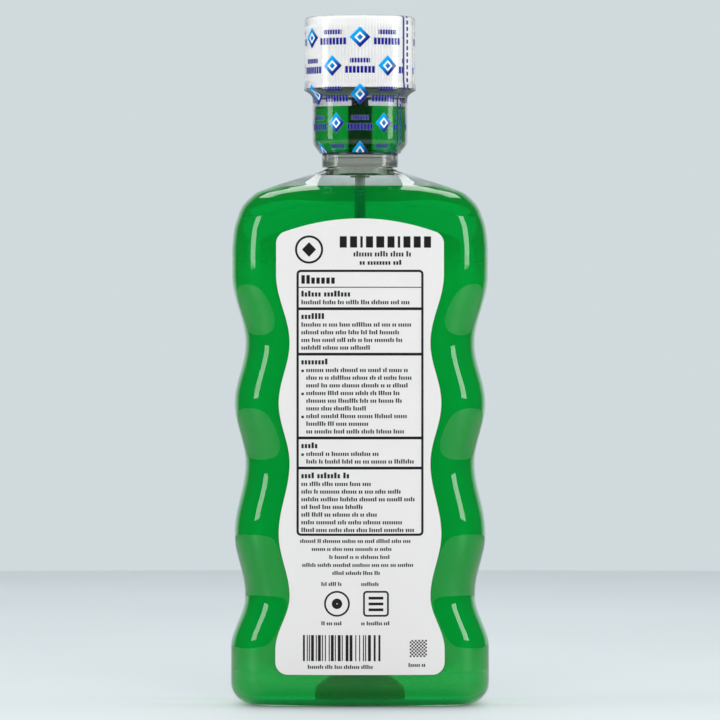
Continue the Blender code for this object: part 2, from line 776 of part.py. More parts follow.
def cup_inside():
    """The inside of the cup in (r, z), from its rim down to the hole for the standpipe."""
    return [
        (CUP_BORE, CUP_RIM), (CUP_BORE, CUP_CONE_TOP),
        (CUP_SKIRT_RADIUS - CUP_WALL, CUP_FLOOR_TOP), (PIPE_RADIUS + GAP, CUP_FLOOR_TOP),
    ]


def cup_underside():
    """The socket under the cup's floor that snaps over the neck, from the hole out to the skirt's foot."""
    socket = CUP_SOCKET
    return [
        (PIPE_RADIUS + GAP, CUP_FLOOR), (socket, CUP_FLOOR), (socket, BEAD + BEAD_HALF_WIDTH),
        (socket + BEAD_DEPTH, BEAD), (socket, BEAD - BEAD_HALF_WIDTH), (socket, CUP_FOOT),
    ]


def dosing_cup(look):
    cup = turned("dosing_cup", cup_outside() + cup_inside() + cup_underside(), look)
    for start in range(THREAD_STARTS):
        angle = THREAD_START_ANGLE + math.tau * start / THREAD_STARTS
        thread = ridge(
            f"cup_thread_{start}", CUP_RADIUS - ROOT_BITE, CUP_RADIUS + THREAD_DEPTH,
            CUP_THREAD_FOOT, angle, CUP_THREAD_BASE, CUP_THREAD_CREST, look,
        )
        combine(cup, thread, "UNION")
    return cup


def standpipe(look):
    """A pipe with a roof and two windows, on a flange that rests on the cup's floor."""
    foot = PLUG_TOP + GAP
    flange_top = PIPE_FLANGE + PIPE_FLANGE_THICK
    bore = PIPE_RADIUS - PIPE_WALL
    profile = (
        (PIPE_RADIUS, foot), (PIPE_RADIUS, PIPE_FLANGE), (PIPE_FLANGE_RADIUS, PIPE_FLANGE),
        (PIPE_FLANGE_RADIUS, flange_top), (PIPE_RADIUS, flange_top), (PIPE_RADIUS, PIPE_TOP - PIPE_ROOF / 2),
        (PIPE_RADIUS - PIPE_ROOF / 2, PIPE_TOP), (0, PIPE_TOP), (0, PIPE_TOP - PIPE_ROOF),
        (bore, PIPE_TOP - PIPE_ROOF), (bore, foot),
    )
    pipe = turned("standpipe", profile, look, PIPE_SIDES)
    combine(pipe, window_cutter(look), "DIFFERENCE")
    return pipe


def window_cutter(look):
    """A bar across the pipe, wide enough to open a window on each side."""
    shape = bmesh.new()
    bmesh.ops.create_cube(shape, size=1)
    for vertex in shape.verts:
        vertex.co.x *= 4 * PIPE_RADIUS
        vertex.co.y *= WINDOW_WIDTH
        vertex.co.z = WINDOW_HEAD if vertex.co.z > 0 else WINDOW_SILL
    return finish(shape, "window_cutter", look)


def dose(look):
    """The liquid in the cup, with a well round the standpipe and its flange."""
    floor = CUP_FLOOR_TOP + GAP
    flange_top = PIPE_FLANGE + PIPE_FLANGE_THICK + GAP
    side = CUP_BORE - GAP
    well = PIPE_RADIUS + GAP
    foot_well = PIPE_FLANGE_RADIUS + GAP
    profile = (
        (CUP_SKIRT_RADIUS - CUP_WALL - 2 * GAP, floor), (side, CUP_CONE_TOP + GAP), (side, DOSE_LEVEL),
        (well, DOSE_LEVEL), (well, flange_top), (foot_well, flange_top), (foot_well, floor),
    )
    return turned("dose", profile, look)


def cap_shell(look):
    """A cap with upright ribs outside, a screw thread inside and a rounded top edge."""
    rib_foot = CAP_FOOT + CAP_HEM
    rib_top = CAP_TOP - CAP_EDGE_ROUND - CAP_HEM
    plain = CAP_PLAIN_RADIUS
    outside = [plain_ring(plain, CAP_FOOT), plain_ring(plain, rib_foot)]
    outside += [ribbed_ring(rib_foot + CAP_RIB_DEPTH), ribbed_ring(rib_top - CAP_RIB_DEPTH)]
    outside.append(plain_ring(plain, rib_top))
    corner = arc((plain - CAP_EDGE_ROUND, CAP_TOP - CAP_EDGE_ROUND), CAP_EDGE_ROUND, 0, 90, CAP_CORNER_STEPS)
    outside += [plain_ring(r, z) for r, z in corner]
    inside = [coarse_ring(CAP_BORE, CAP_FOOT), coarse_ring(CAP_BORE, CAP_CEILING)]
    rings = outside[::-1] + inside
    cap = loft("cap_shell", rings, look)
    for start in range(THREAD_STARTS):
        angle = THREAD_START_ANGLE + math.tau * start / THREAD_STARTS
        thread = ridge(
            f"cap_thread_{start}", CAP_BORE + ROOT_BITE, CUP_RADIUS + GAP,
            cap_thread_foot(), angle, CAP_THREAD_BASE, CAP_THREAD_CREST, look,
        )
        combine(cap, thread, "UNION")
    return cap


def cap_thread_foot():
    """The cap's ridge hangs under the cup's ridge, a gap away, as it does on a tight cap."""
    middle_cup = (CUP_THREAD_BASE + CUP_THREAD_CREST) / 4
    middle_cap = (CAP_THREAD_BASE + CAP_THREAD_CREST) / 4
    return CUP_THREAD_FOOT - middle_cup - middle_cap - 2 * GAP


def plain_ring(radius, z):
    count = 2 * CAP_RIBS
    return [polar(radius, math.tau * j / count, z) for j in range(count)]


def ribbed_ring(z):
    count = 2 * CAP_RIBS
    return [polar(CAP_RADIUS - CAP_RIB_DEPTH * (j % 2), math.tau * j / count, z) for j in range(count)]


def coarse_ring(radius, z):
    return [polar(radius, math.tau * j / ROUND_SIDES, z) for j in range(ROUND_SIDES)]


def cap_liner(look):
    radius = CAP_BORE - GAP
    top = LINER_FOOT + LINER_THICK
    profile = ((0, LINER_FOOT), (radius, LINER_FOOT), (radius, top), (0, top))
    return turned("cap_liner", profile, look)


def upper_sleeve_path():
    """The film's inner face over the cap, from the hole on top round the edge and down."""
    side = CAP_RADIUS + GAP
    corner = (side - CAP_EDGE_ROUND, CAP_TOP + GAP - CAP_EDGE_ROUND)
    path = [(side - SLEEVE_RIM_WIDTH, CAP_TOP + GAP)]
    path += arc(corner, CAP_EDGE_ROUND, 90, 0, CAP_CORNER_STEPS)
    return path + [(side, CAP_FOOT + CAP_HEM), (side + GAP, SLEEVE_SPLIT)]


def lower_sleeve_path():
    """The film's inner face below the cap: drawn in to the cup, then down its wall and cone."""
    start = CAP_RADIUS + 2 * GAP
    end = CUP_RADIUS + GAP
    top = SLEEVE_SPLIT - GAP
    path = []
    for share in SLEEVE_DRAW_SHARES:
        path.append((end + (start - end) * (1 - share) ** 2, top - SLEEVE_DRAW * share))
    path.append((end, CUP_CONE_TOP))
    slope = (CUP_RADIUS - CUP_SKIRT_RADIUS) / CUP_CONE_HEIGHT
    return path + [(end - slope * (CUP_CONE_TOP - SLEEVE_FOOT), SLEEVE_FOOT)]


def film_profile(path):
    """A closed profile of the film's thickness outside its inner face. The path runs down its outer side."""
    return path + offset_path(path, FILM)[::-1]


def film_pair(sleeve_name, strip_name, path, looks):
    """The sleeve with a gap where the tear strip lies, and the strip in that gap."""
    profile = film_profile(path)
    seam = GAP / CUP_RADIUS
    start = STRIP_DIRECTION + STRIP_HALF_ANGLE + seam
    end = STRIP_DIRECTION + math.tau - STRIP_HALF_ANGLE - seam
    sleeve = swept_sector(sleeve_name, profile, start, end, ROUND_SIDES, looks["film"])
    near = STRIP_DIRECTION - STRIP_HALF_ANGLE
    far = STRIP_DIRECTION + STRIP_HALF_ANGLE
    strip = swept_sector(strip_name, profile, near, far, STRIP_STEPS, looks["strip"])
    return sleeve, strip


def build():
    clear_scene()
    looks = materials()
    shell = bottle_shell(looks["pet"])
    carried = [
        mouthwash(looks["liquid"]),
        label("back_label", -1, looks["label"]),
        label("front_label", 1, looks["label"]),
        dip_tube(looks["natural"]),
        neck_plug(looks["natural"]),
        dosing_cup(looks["cup"]),
        standpipe(looks["dark"]),
        dose(looks["liquid"]),
    ]
    lower_sleeve, lower_strip = film_pair("lower_sleeve", "lower_tear_strip", lower_sleeve_path(), looks)
    upper_sleeve, upper_strip = film_pair("upper_sleeve", "upper_tear_strip", upper_sleeve_path(), looks)
    liner = cap_liner(looks["foam"])
    cap = cap_shell(looks["cap"])
    set_origin(liner, (0, 0, LINER_FOOT))
    set_origin(cap, (0, 0, CAP_FOOT))
    set_origin(upper_strip, polar(CAP_RADIUS, STRIP_DIRECTION, SLEEVE_SPLIT))
    set_origin(lower_strip, polar(CUP_RADIUS, STRIP_DIRECTION, SLEEVE_FOOT))
    for piece in carried + [lower_sleeve, lower_strip, liner]:
        carry(piece, shell)
    carry(cap, liner)
    carry(upper_sleeve, cap)
    carry(upper_strip, cap)


build()
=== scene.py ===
"""The looks of a squeeze bottle of mouthwash with a dosing cup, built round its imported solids.

Lengths are in metres. The bottle stands on z = 0 with its axis on Z.
Its width lies along X and its back label on -Y.
"""

import math
import random
from functools import cache, partial, partialmethod, reduce

import bmesh
import bpy
import numpy as np
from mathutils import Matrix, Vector

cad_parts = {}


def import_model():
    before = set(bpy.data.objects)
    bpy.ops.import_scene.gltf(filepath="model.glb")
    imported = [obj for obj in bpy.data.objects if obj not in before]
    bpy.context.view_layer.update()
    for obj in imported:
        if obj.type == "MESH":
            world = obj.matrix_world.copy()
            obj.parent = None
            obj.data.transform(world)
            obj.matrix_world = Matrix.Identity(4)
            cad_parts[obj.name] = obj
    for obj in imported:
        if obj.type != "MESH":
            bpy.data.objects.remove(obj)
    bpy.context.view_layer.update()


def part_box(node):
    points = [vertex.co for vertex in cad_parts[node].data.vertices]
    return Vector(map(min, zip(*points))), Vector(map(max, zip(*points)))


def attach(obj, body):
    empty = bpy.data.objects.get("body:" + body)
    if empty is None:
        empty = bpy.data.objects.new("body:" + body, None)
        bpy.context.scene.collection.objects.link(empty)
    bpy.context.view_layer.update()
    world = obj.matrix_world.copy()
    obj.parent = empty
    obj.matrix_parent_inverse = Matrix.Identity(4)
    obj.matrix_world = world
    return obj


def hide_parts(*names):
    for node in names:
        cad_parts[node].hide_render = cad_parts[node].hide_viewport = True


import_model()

MM = 0.001
PLACES = 5  # decimals of a metre that are read from model.glb


def high_corner(node):
    return [round(c, PLACES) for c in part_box(node)[1]]


def span(node):
    """The heights of a node's foot and top."""
    return [round(corner.z, PLACES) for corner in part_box(node)]


# Sizes of the solids that model.glb gives
BASE_BULGE_HALF, HALF_DEPTH, NECK_TOP = high_corner("bottle_shell")
LEVEL = span("mouthwash")[1]
LABEL_BOTTOM, LABEL_TOP = span("back_label")
TUBE_FOOT, TUBE_TOP = span("dip_tube")
TUBE_RADIUS = high_corner("dip_tube")[0]
HUB_FOOT, PLUG_TOP = span("neck_plug")
CUP_FOOT, CUP_RIM = span("dosing_cup")
DOSE_LEVEL = span("dose")[1]
PIPE_FOOT, PIPE_TOP = span("standpipe")
PIPE_FLANGE_RADIUS = high_corner("standpipe")[0]
CAP_FOOT, CAP_TOP = span("cap_shell")
CAP_RADIUS = high_corner("cap_shell")[0]
LINER_FOOT, LINER_TOP = span("cap_liner")
SLEEVE_SPLIT = span("upper_sleeve")[0]

# Other sizes, as the solids have them
GAP = 0.3 * MM
BASE_ROUND = 7.0 * MM
SIDE_SHOULDER = 150.0 * MM
FRONT_SHOULDER = 160.0 * MM
NECK_FOOT = 173.6 * MM
SADDLE_TOP = 176.0 * MM
TOP_BULGE_HALF = 42.15 * MM
BULGE_HALF = 41.3 * MM
WAIST_HALF = 37.75 * MM
# Heights and half widths where the silhouette turns
TURNING_POINTS = (
    (BASE_ROUND, BASE_BULGE_HALF), (18.5 * MM, BASE_BULGE_HALF), (36.0 * MM, WAIST_HALF),
    (56.3 * MM, BULGE_HALF), (79.3 * MM, WAIST_HALF), (98.9 * MM, BULGE_HALF),
    (118.6 * MM, WAIST_HALF), (141.0 * MM, TOP_BULGE_HALF), (SIDE_SHOULDER, TOP_BULGE_HALF),
)
PANEL_RADIUS = 115.0 * MM
SIDE_RUN = 14.4 * MM
SIDE_PULL_ACROSS = 9.0 * MM
SIDE_PULL_ALONG_SHARE = 0.58
WALL = 0.8 * MM
BASE_WALL = 1.1 * MM
STAND_WIDTH = 1.8 * MM
PUSH_UP_HEIGHT = 10.5 * MM
PUSH_UP_SHARES = ((0.92, 0.05), (0.72, 0.13), (0.53, 0.25), (0.4, 0.52), (0.27, 0.8), (0.13, 0.96))
SHOULDER_SIDE_SHARES = (
    (0.98, 0.226), (0.945, 0.374), (0.89, 0.527), (0.77, 0.675), (0.645, 0.745), (0.46, 0.82),
    (0.262, 0.895),
)
SHOULDER_FRONT_SHARES = ((0.975, 0.2), (0.9, 0.38), (0.75, 0.545), (0.53, 0.69), (0.28, 0.81), (0.09, 0.92))
NECK_RADIUS = 10.85 * MM
NECK_WALL = 1.6 * MM
NECK_BORE = NECK_RADIUS - NECK_WALL
BEAD = 177.5 * MM
BEAD_DEPTH = 0.5 * MM
BEAD_HALF_WIDTH = 0.8 * MM
TUBE_BORE_RADIUS = 1.15 * MM
LABEL_INSET = 14.8 * MM
LABEL_TOP_RADIUS = 71.0 * MM
LABEL_CORNER_TOP = LABEL_TOP - (TOP_BULGE_HALF - LABEL_INSET) ** 2 / (2 * LABEL_TOP_RADIUS)
LABEL_BOTTOM_CORNER = 4.0 * MM
LABEL_TOP_CORNER = 2.6 * MM
PLUG_WALL = 1.0 * MM
PLUG_DEPTH = 5.0 * MM
PLUG_HUB_WALL = 1.2 * MM
PLUG_PASSAGE_RADIUS = 1.2 * MM
CUP_FLOOR = PLUG_TOP + GAP
CUP_FLOOR_TOP = 181.9 * MM
CUP_CONE_TOP = 184.4 * MM
CUP_BEAD = 199.6 * MM
CUP_BEAD_DEPTH = 0.35 * MM
CUP_BEAD_HALF_WIDTH = 0.6 * MM
CUP_SOCKET = NECK_RADIUS + GAP
CUP_SKIRT_RADIUS = 12.5 * MM
CUP_RADIUS = 15.0 * MM
CUP_WALL = 1.1 * MM
CUP_BORE = CUP_RADIUS - CUP_WALL
PIPE_RADIUS = 3.0 * MM
PIPE_WALL = 1.0 * MM
PIPE_ROOF = 1.0 * MM
PIPE_FLANGE = CUP_FLOOR_TOP + GAP
PIPE_FLANGE_TOP = 183.4 * MM
WINDOW_WIDTH = 2.4 * MM
WINDOW_SILL = 196.7 * MM
WINDOW_HEAD = 199.4 * MM
THREAD_STARTS = 2
THREAD_LEAD = 8.4 * MM
THREAD_TURNS = 0.8
THREAD_DEPTH = 1.0 * MM
THREAD_START_ANGLE = math.radians(3.5)
# Threads: height of the foot, and the ridge's width at its base and its crest
CUP_THREAD = (205.5 * MM, 1.7 * MM, 0.9 * MM)
CAP_THREAD = (203.65 * MM, 1.6 * MM, 0.8 * MM)
CAP_CEILING = 223.8 * MM
CAP_BORE = 16.3 * MM
CAP_RIB_DEPTH = 0.4 * MM
CAP_RIBS = 108
CAP_EDGE_ROUND = 1.2 * MM
CAP_HEM = 1.2 * MM
SLEEVE_RIM_WIDTH = 4.0 * MM
SLEEVE_DRAW = 3.0 * MM
SLEEVE_FOOT = 181.0 * MM
STRIP_DIRECTION = math.radians(-29.3)
STRIP_HALF_ANGLE = math.radians(10.0)

# Finer forms that only the looks have
BITE = 0.12 * MM  # how far the liquids reach into the wall that holds them, so that no air shows between
MENISCUS = 0.25 * MM
MENISCUS_SHARES = ((0.998, 0.75), (0.995, 0.4), (0.988, 0.12), (0.975, 0.0), (0.5, 0.0))
PARTING_LINE = 0.1 * MM
LABEL_SINK = 0.12 * MM  # the label's inner face lies just inside the wall, since glue leaves no air there
LABEL_LIFT = 0.1 * MM
INK = 0.012 * MM
INK_SINK = 0.006 * MM
SMALL_ROUND = 0.3 * MM
THREAD_RUN_OUT_SHARE = 0.06
RIB_FULLNESS_SHARE = 0.7
SLEEVE_FILM = 0.1 * MM
SLEEVE_HUG = 0.3 * MM  # from the cup's bead to the outer face of the film that is shrunk on it
CAP_HUG = 0.5 * MM  # the same from the cap's solid
CAP_SWELL = 0.34 * MM  # how far the cap fills the room that the solids leave under the film
HEM_FLARE = 0.2 * MM
HOLE_EDGE_SHARE = 0.8
SLEEVE_SEAM = 0.06 * MM  # half the width of a perforated line
SLEEVE_JOIN = 0.05 * MM  # between the upper and the lower film
DRAW_SHARPNESS = 2.4
FILM_RIPPLE = 0.008 * MM
RIPPLES = ((23, 0), (41, 1.3))  # waves round the film, and where they start
NUB_RADIUS = 1.4 * MM
NUB_HEIGHT = 0.25 * MM

# Fineness
SIDE_STEPS = 24
PANEL_STEPS = 12
RING_COUNT = 4 * (SIDE_STEPS + PANEL_STEPS)
BODY_ROW = 1.2 * MM
SHOULDER_ROW = 0.12 * MM
CORNER_STEPS = 14
SHOULDER_STEPS = 10
LATHE_SIDES = 128
TUBE_SIDES = 40
ROUND_STEPS = 4
RIB_POINTS = 6
THREAD_ROW = 0.22 * MM
SHARP_ANGLE = math.radians(38)
LABEL_COLUMNS = 40
LABEL_ROW = 1.0 * MM

# Print, in mm, from the label's middle to the reader's right and from the floor up
PRINT_STEP = 2.2
LETTER_PITCH_SHARE = 0.5
LETTER_WIDTH_SHARE = 0.32
LETTER_RISE_SHARES = (0.72, 0.72, 0.72, 1.0)
WORD_LETTERS = (2, 9)
WORD_SPACE_SHARE = 0.7
HEADING_LEFT = -6.6
HEADING_FOOT = 149.6
HEADING_RISE = 3.7
HEADING_SPACE = 1.05
HEADING_BLOCKS = (2.3, 2.3, 0.8, 2.3, 2.6, 2.3, 0.8, 2.3, 2.3, 2.3)
HEADING_LINES = ((4.5, 2.9, 1.8, 0.0), (6.5, 5.6, 1.6, 0.1))  # indent, drop, height, and how bold
HEADING_LINE_SPACE = 4.0
# Diamond in the emblem's ring: the ends of its rows and their heights
DIAMOND = ((-16.7, -16.5, 146.7), (-18.9, -14.3, 149.0), (-16.7, -16.5, 151.3))
DIAMOND_POINTS = 5
PANEL_BOX = (-20.7, 20.7, 55.7, 142.4)
PANEL_LINE = 0.75
PANEL_CORNER = 1.4
PANEL_MARGIN = 1.6
# The panel's sections: rule above, heading's height and width share, lines, and whether they have dots
PANEL_SECTIONS = (
    (0.0, 2.8, 0.42, 0, False), (0.3, 1.9, 0.5, 1, False), (0.9, 1.9, 0.22, 4, False),
    (0.9, 1.9, 0.34, 9, True), (0.9, 1.9, 0.3, 2, True), (0.9, 1.9, 0.45, 7, False),
)
PANEL_BOLD = 0.08
LINES_PER_DOT = 3
LINE_END_SHARES = (0.0, 0.0, 0.05, 0.3)
TEXT_HEIGHT = 1.45
TEXT_PITCH = 2.5
TEXT_GAP = 1.0
DOT = 0.8
# Lines of words: left, right, foot and height
FOOT_LINES = (
    (-19.5, 19.5, 53.4, 1.3), (-15.7, 15.7, 50.8, 1.3), (-10.0, 10.0, 48.2, 1.3), (-18.8, 18.8, 45.6, 1.3),
    (-9.0, 9.0, 43.0, 1.3),
)
CAPTIONS = (
    (-12.6, -2.4, 39.4, 1.3), (-12.6, -2.4, 26.6, 1.3), (0.4, 10.6, 39.4, 1.3), (0.4, 10.6, 26.6, 1.3),
    (-17.0, 6.6, 12.4, 1.3), (15.8, 22.0, 13.0, 1.3),
)
TITLE_LINES = ((-15, 16, 95, 1.8), (-11, 12, 91.2, 1.4), (-9, 9, 140, 1.5), (-12, 12, 136.8, 1.5))
# Rings: middle, outer and inner radius, and sides
EMBLEM_RING = (-16.6, 149.0, 4.6, 3.9, 48)
MARK_RINGS = ((-7.5, 33.6, 4.2, 3.6, 48), (-7.5, 33.6, 1.7, 0.2, 48))
TITLE_RING = (0.0, 62.0, 8.6, 7.8, 72)
# Boxes and bars: left, right, foot and top
MARK_BOX = (1.0, 9.4, 29.4, 37.8)
MARK_BARS = ((2.8, 7.6, 31.2, 32.1), (2.8, 7.6, 33.1, 34.0), (2.8, 7.6, 35.0, 35.9))
MARK_LINE = 0.6
TITLE_BLOCKS = (
    (-17.0, -4.0, 112.0, 119.5), (-1.5, 8.0, 112.0, 119.5), (10.5, 17.0, 112.0, 119.5),
    (-13.0, 1.0, 101.0, 108.5), (3.5, 13.0, 101.0, 108.5),
)
STRIPES_BOX = (-18.6, 7.0, 14.9, 23.4)
STRIPE_WIDTHS = (0.35, 0.35, 0.65, 0.95)
STRIPE_GAPS = (0.35, 0.35, 0.6, 0.9)
CHECKS_CORNER = 16.2
CHECK = 0.56
CHECK_COUNT = 10

# Sleeve print
PRINT_RADIUS = CAP_RADIUS + GAP
MOTIF_PITCH = PRINT_RADIUS * math.tau / 6
MOTIF_ROW = 9.3 * MM
MOTIF_HALF = 3.4 * MM
MOTIF_EDGE = 0.06 * MM
MOTIF_RING_SHARE = 0.42
MOTIF_RING_HALF = 0.4 * MM
BLOCK_HALF_SHARE = 0.36
# Lines of blocks: half length, middle, half height and pitch
BLOCK_LINES = ((3.3 * MM, 1.7 * MM, 0.75 * MM, 0.95 * MM), (5.0 * MM, -1.3 * MM, 1.1 * MM, 1.25 * MM))
LOWER_PRINT_REACH = CAP_RADIUS * math.radians(105)
STRIP_LINE = (0.45 * MM, 0.3 * MM)  # from the strip's edge to the line's middle, and half its width
STRIP_DASH = (-0.7 * MM, 0.45 * MM)  # the same for the dashes, from the strip's middle
DASH_PITCH = 2.1 * MM
DASH_HALF = 0.65 * MM
# Painted shade where the film is drawn in under the cap: its colour, how much less clear it gets, and the
# heights above the draw's foot where it starts and is full
UNDER_CAP_SHADE_COLOUR = (0.13, 0.17, 0.13)
UNDER_CAP_SHADE_DULLNESS = 0.6
UNDER_CAP_SHADE_FROM = (0.3 * MM, 0.9 * MM)

# Sizes of the grain, haze and waves of the surfaces, and depths of their bumps
WALL_WAVE = 22 * MM
WALL_HAZE = 1.5 * MM
LIQUID_WAVE = 30 * MM
LABEL_GRAIN = 0.35 * MM
LABEL_CLOUD = 18 * MM
LABEL_SCUFF = 3.0 * MM
INK_GRAIN = 0.5 * MM
MOULD_CLOUD = 9 * MM
TUBE_GRAIN = 0.6 * MM
GRAIN_DEPTH = 0.004 * MM
FOAM_CELL = 0.4 * MM
FOAM_DEPTH = 0.05 * MM
FILM_HAZE = 2.5 * MM
FILM_HAZE_DEPTH = 0.003 * MM
FLOOR_CLOUD = 300 * MM
EDGE = 0.05 * MM
GRAIN_ENDS = (0.3, 0.7)  # the noise values between which a grain shows
HAZE_ENDS = (0.35, 0.75)
FILM_HAZE_ENDS = (0.35, 0.7)
CELL_ENDS = (0.0, 0.6)
SCUFF_ENDS = (0.62, 0.74)
SCUFF_DULLNESS = 0.12
FLECK_SHARE = 0.1
DEEP_TINT_SHARE = 0.96
DEEP_DYE_SHARE = 0.95
CUP_HAZE_FADE = 1.0 * MM
CELLS_BEFORE = 100  # cells that are added before a place, so that it counts up from the first one
MIX_COLOURS = slice(6, 8)  # a colour mix's sockets for its two colours
MIX_RESULT = 2

# Mouthwash: heights between which it clears towards the shoulder and at the foot, and where a painted glow
# brightens its foot
CLEAR_TOP = (130 * MM, 162 * MM)
CLEAR_FOOT = (2 * MM, 3 * MM)
CLEAR_FOOT_END = (8 * MM, 14 * MM)
PAINTED_GLOW_FOOT = (2.5 * MM, 4 * MM)

# Front label: heights of the field's two blues, of the pale band and of the pale foot, all on one swell
FIELD = (20 * MM, 150 * MM)
SWELL = 5 * MM
SWELL_COUNT = 110.0  # radians of the wave in a metre
BAND_FOOT = (72 * MM, 72.5 * MM)
BAND_TOP = (84 * MM, 84.5 * MM)
PALE_FOOT = (44 * MM, 44.5 * MM)

# Clear plastics: tint, refraction, waviness, roughness, the heights where the milky part starts to fade and
# where it ends, its colour and its clearness
CLEAR_BOTTLE = (
    (0.97, 0.985, 0.975), 1.5, 0.02 * MM, (0.015, 0.05),
    (CUP_FOOT + SMALL_ROUND, CUP_FOOT), (0.27, 0.295, 0.27), 0.25,
)
CLEAR_CUP = (
    (0.96, 0.97, 0.96), 1.49, 0.01 * MM, (0.06, 0.09),
    (CUP_FLOOR - CUP_HAZE_FADE, CUP_FLOOR), (0.9, 0.91, 0.9), 0.95,
)
# Opaque plastics: range of roughness, size of the grain and its depth, and two colours
NATURAL = ((0.24, 0.36), 0.6 * MM, GRAIN_DEPTH, (0.28, 0.32, 0.28), (0.33, 0.37, 0.33))
DARK = ((0.19, 0.31), 0.4 * MM, GRAIN_DEPTH, (0.004, 0.012, 0.005), (0.008, 0.02, 0.009))
WHITE = ((0.3, 0.42), 0.25 * MM, 0.006 * MM, (0.93, 0.93, 0.93), (0.96, 0.96, 0.955))
# Liquids: the cloudy and the clear colour, and the share of light that each lets through
MOUTHWASH = ((0.0, 0.47, 0.061), (0.0, 0.50, 0.066), 0.42, 0.86)
DOSE = ((0.0, 0.50, 0.055), (0.0, 0.50, 0.055), 0.96, 0.96)

# Camera
CAMERA_HEIGHT = 113.0 * MM
CAMERA_DISTANCE = 2400 * MM
LENS_MM = 364.6
SENSOR_MM = 36.0

# Stage
FLOOR_RADIUS = 1520 * MM
FLOOR_SHARES = (0.1, 0.25, 0.5, 0.75, 1.0)
FLOOR_DROP = 0.05 * MM
SHADE_ROUND = 14 * MM  # corner radius of the standing ring, round which the floor gets a painted shadow
SHADE_REACH = 16 * MM
SHADE_SHARE = 0.9
SHADE_ENDS = (32 * MM, 44 * MM)  # how far out to each side it starts to fade, and where it is faintest
SHADE_END_SHARE = 0.1
# Softboxes: place, size, power, colour, and whether surfaces mirror them
SOFTBOXES = {
    "left_strip": ((-1270 * MM, -270 * MM, 550 * MM), (340 * MM, 820 * MM), 4.6, (1.0, 1.0, 1.0), True),
    "right_strip": ((1270 * MM, -270 * MM, 550 * MM), (340 * MM, 820 * MM), 5.2, (1.0, 1.0, 1.0), True),
    "key_box": ((0, -1300 * MM, 1100 * MM), (1000 * MM, 1000 * MM), 12.0, (1.0, 0.94, 0.89), False),
    "back_box": ((0, 1100 * MM, 1300 * MM), (1400 * MM, 500 * MM), 6.0, (1.0, 1.0, 1.0), True),
}
WORLD_COLOUR = (0.63, 0.70, 0.725, 1.0)
WORLD_STRENGTHS = (1.0, 0.04)  # seen straight, and mirrored
MIRRORED_SIDE = (0.93, 0.80)  # between these shares of +Y in a direction the mirrored world turns dark
BOUNCES = {"max": 36, "transmission": 32, "diffuse": 6, "glossy": 8}


class Form:
    """Points and faces that grow into one mesh, from a first skin if there is one."""

    def __init__(self, *skin):
        self.points = []
        self.faces = []
        if skin:
            self.skin(*skin)

    def add(self, points):
        start = len(self.points)
        self.points += [tuple(float(c) for c in point) for point in points]
        return list(range(start, len(self.points)))

    def band(self, low, high, closed=True):
        if closed:
            low, high = low + low[:1], high + high[:1]
        self.faces += list(zip(low, low[1:], high[1:], high))

    def fan(self, ring, tip):
        self.faces += [(a, b, tip) for a, b in zip(ring, ring[1:] + ring[:1])]

    def skin(self, rings, first_tip=None, last_tip=None):
        """Skins a row of closed rings. An end is closed by a fan where it has a tip, and else stays open."""
        loops = [self.add(ring) for ring in rings]
        for low, high in zip(loops, loops[1:]):
            self.band(low, high)
        for loop, tip in ((loops[0], first_tip), (loops[-1], last_tip)):
            if tip is not None:
                self.fan(loop, self.add([tip])[0])
        return loops

    def sheet(self, grids):
        """Closes two grids of points, one over the other, into a thin sheet."""
        for rows in grids:
            for low, high in zip(rows, rows[1:]):
                self.band(low, high, closed=False)
        self.band(*[border(rows) for rows in grids])


def border(rows):
    """The outer loop of a grid of points."""
    ends = [row[-1] for row in rows[1:-1]]
    starts = [row[0] for row in rows[1:-1]]
    return rows[0] + ends + rows[-1][::-1] + starts[::-1]


def build(name, form, look, even=False):
    shape = bmesh.new()
    points = [shape.verts.new(point) for point in form.points]
    for face in form.faces:
        shape.faces.new([points[i] for i in face])
    bmesh.ops.recalc_face_normals(shape, faces=shape.faces)
    mesh = bpy.data.meshes.new(name)
    shape.to_mesh(mesh)
    shape.free()
    mesh.shade_smooth()
    mesh.set_sharp_from_angle(angle=SHARP_ANGLE)
    mesh.materials.append(look)
    made = bpy.data.objects.new(name, mesh)
    bpy.context.scene.collection.objects.link(made)
    if even:
        made.modifiers.new("even_shading", "WEIGHTED_NORMAL").keep_sharp = True
    return made


def dress(piece, body, slot, *nodes):
    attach(piece, body)
    if nodes:
        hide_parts(*nodes)
    return piece


def smooth(share):
    share = np.clip(share, 0, 1)
    return share * share * (3 - 2 * share)


def arc(centre, radius, start, end, steps):
    turn = np.radians(np.linspace(start, end, steps + 1))
    return [(centre[0] + radius * math.cos(a), centre[1] + radius * math.sin(a)) for a in turn]


def soften(profile, radius):
    """Rounds the corners of a closed profile off the axis, each by at most a third of its sides."""
    points = []
    for before, corner, after in zip(profile[-1:] + profile[:-1], profile, profile[1:] + profile[:1]):
        if corner[0] == 0:
            points.append(corner)
            continue
        corner = np.array(corner)
        sides = [np.array(other) - corner for other in (before, after)]
        lengths = [math.hypot(*side) for side in sides]
        reach = min(radius, *(length / 3 for length in lengths))
        start, end = [corner + side / length * reach for side, length in zip(sides, lengths)]
        for t in np.linspace(0, 1, ROUND_STEPS + 1):
            points.append(tuple(start * (1 - t) ** 2 + corner * 2 * t * (1 - t) + end * t * t))
    return points


def all_round(sides):
    return np.linspace(0, math.tau, sides, endpoint=False)


def at_height(flat, z):
    """Flat points, all at one height."""
    return np.column_stack([flat, np.full(len(flat), float(z))])


def ring_at(radius, z, angles):
    return at_height(np.stack([radius * np.cos(angles), radius * np.sin(angles)], axis=1), z)


def circles(profile, sides=LATHE_SIDES):
    return [ring_at(r, z, all_round(sides)) for r, z in profile]


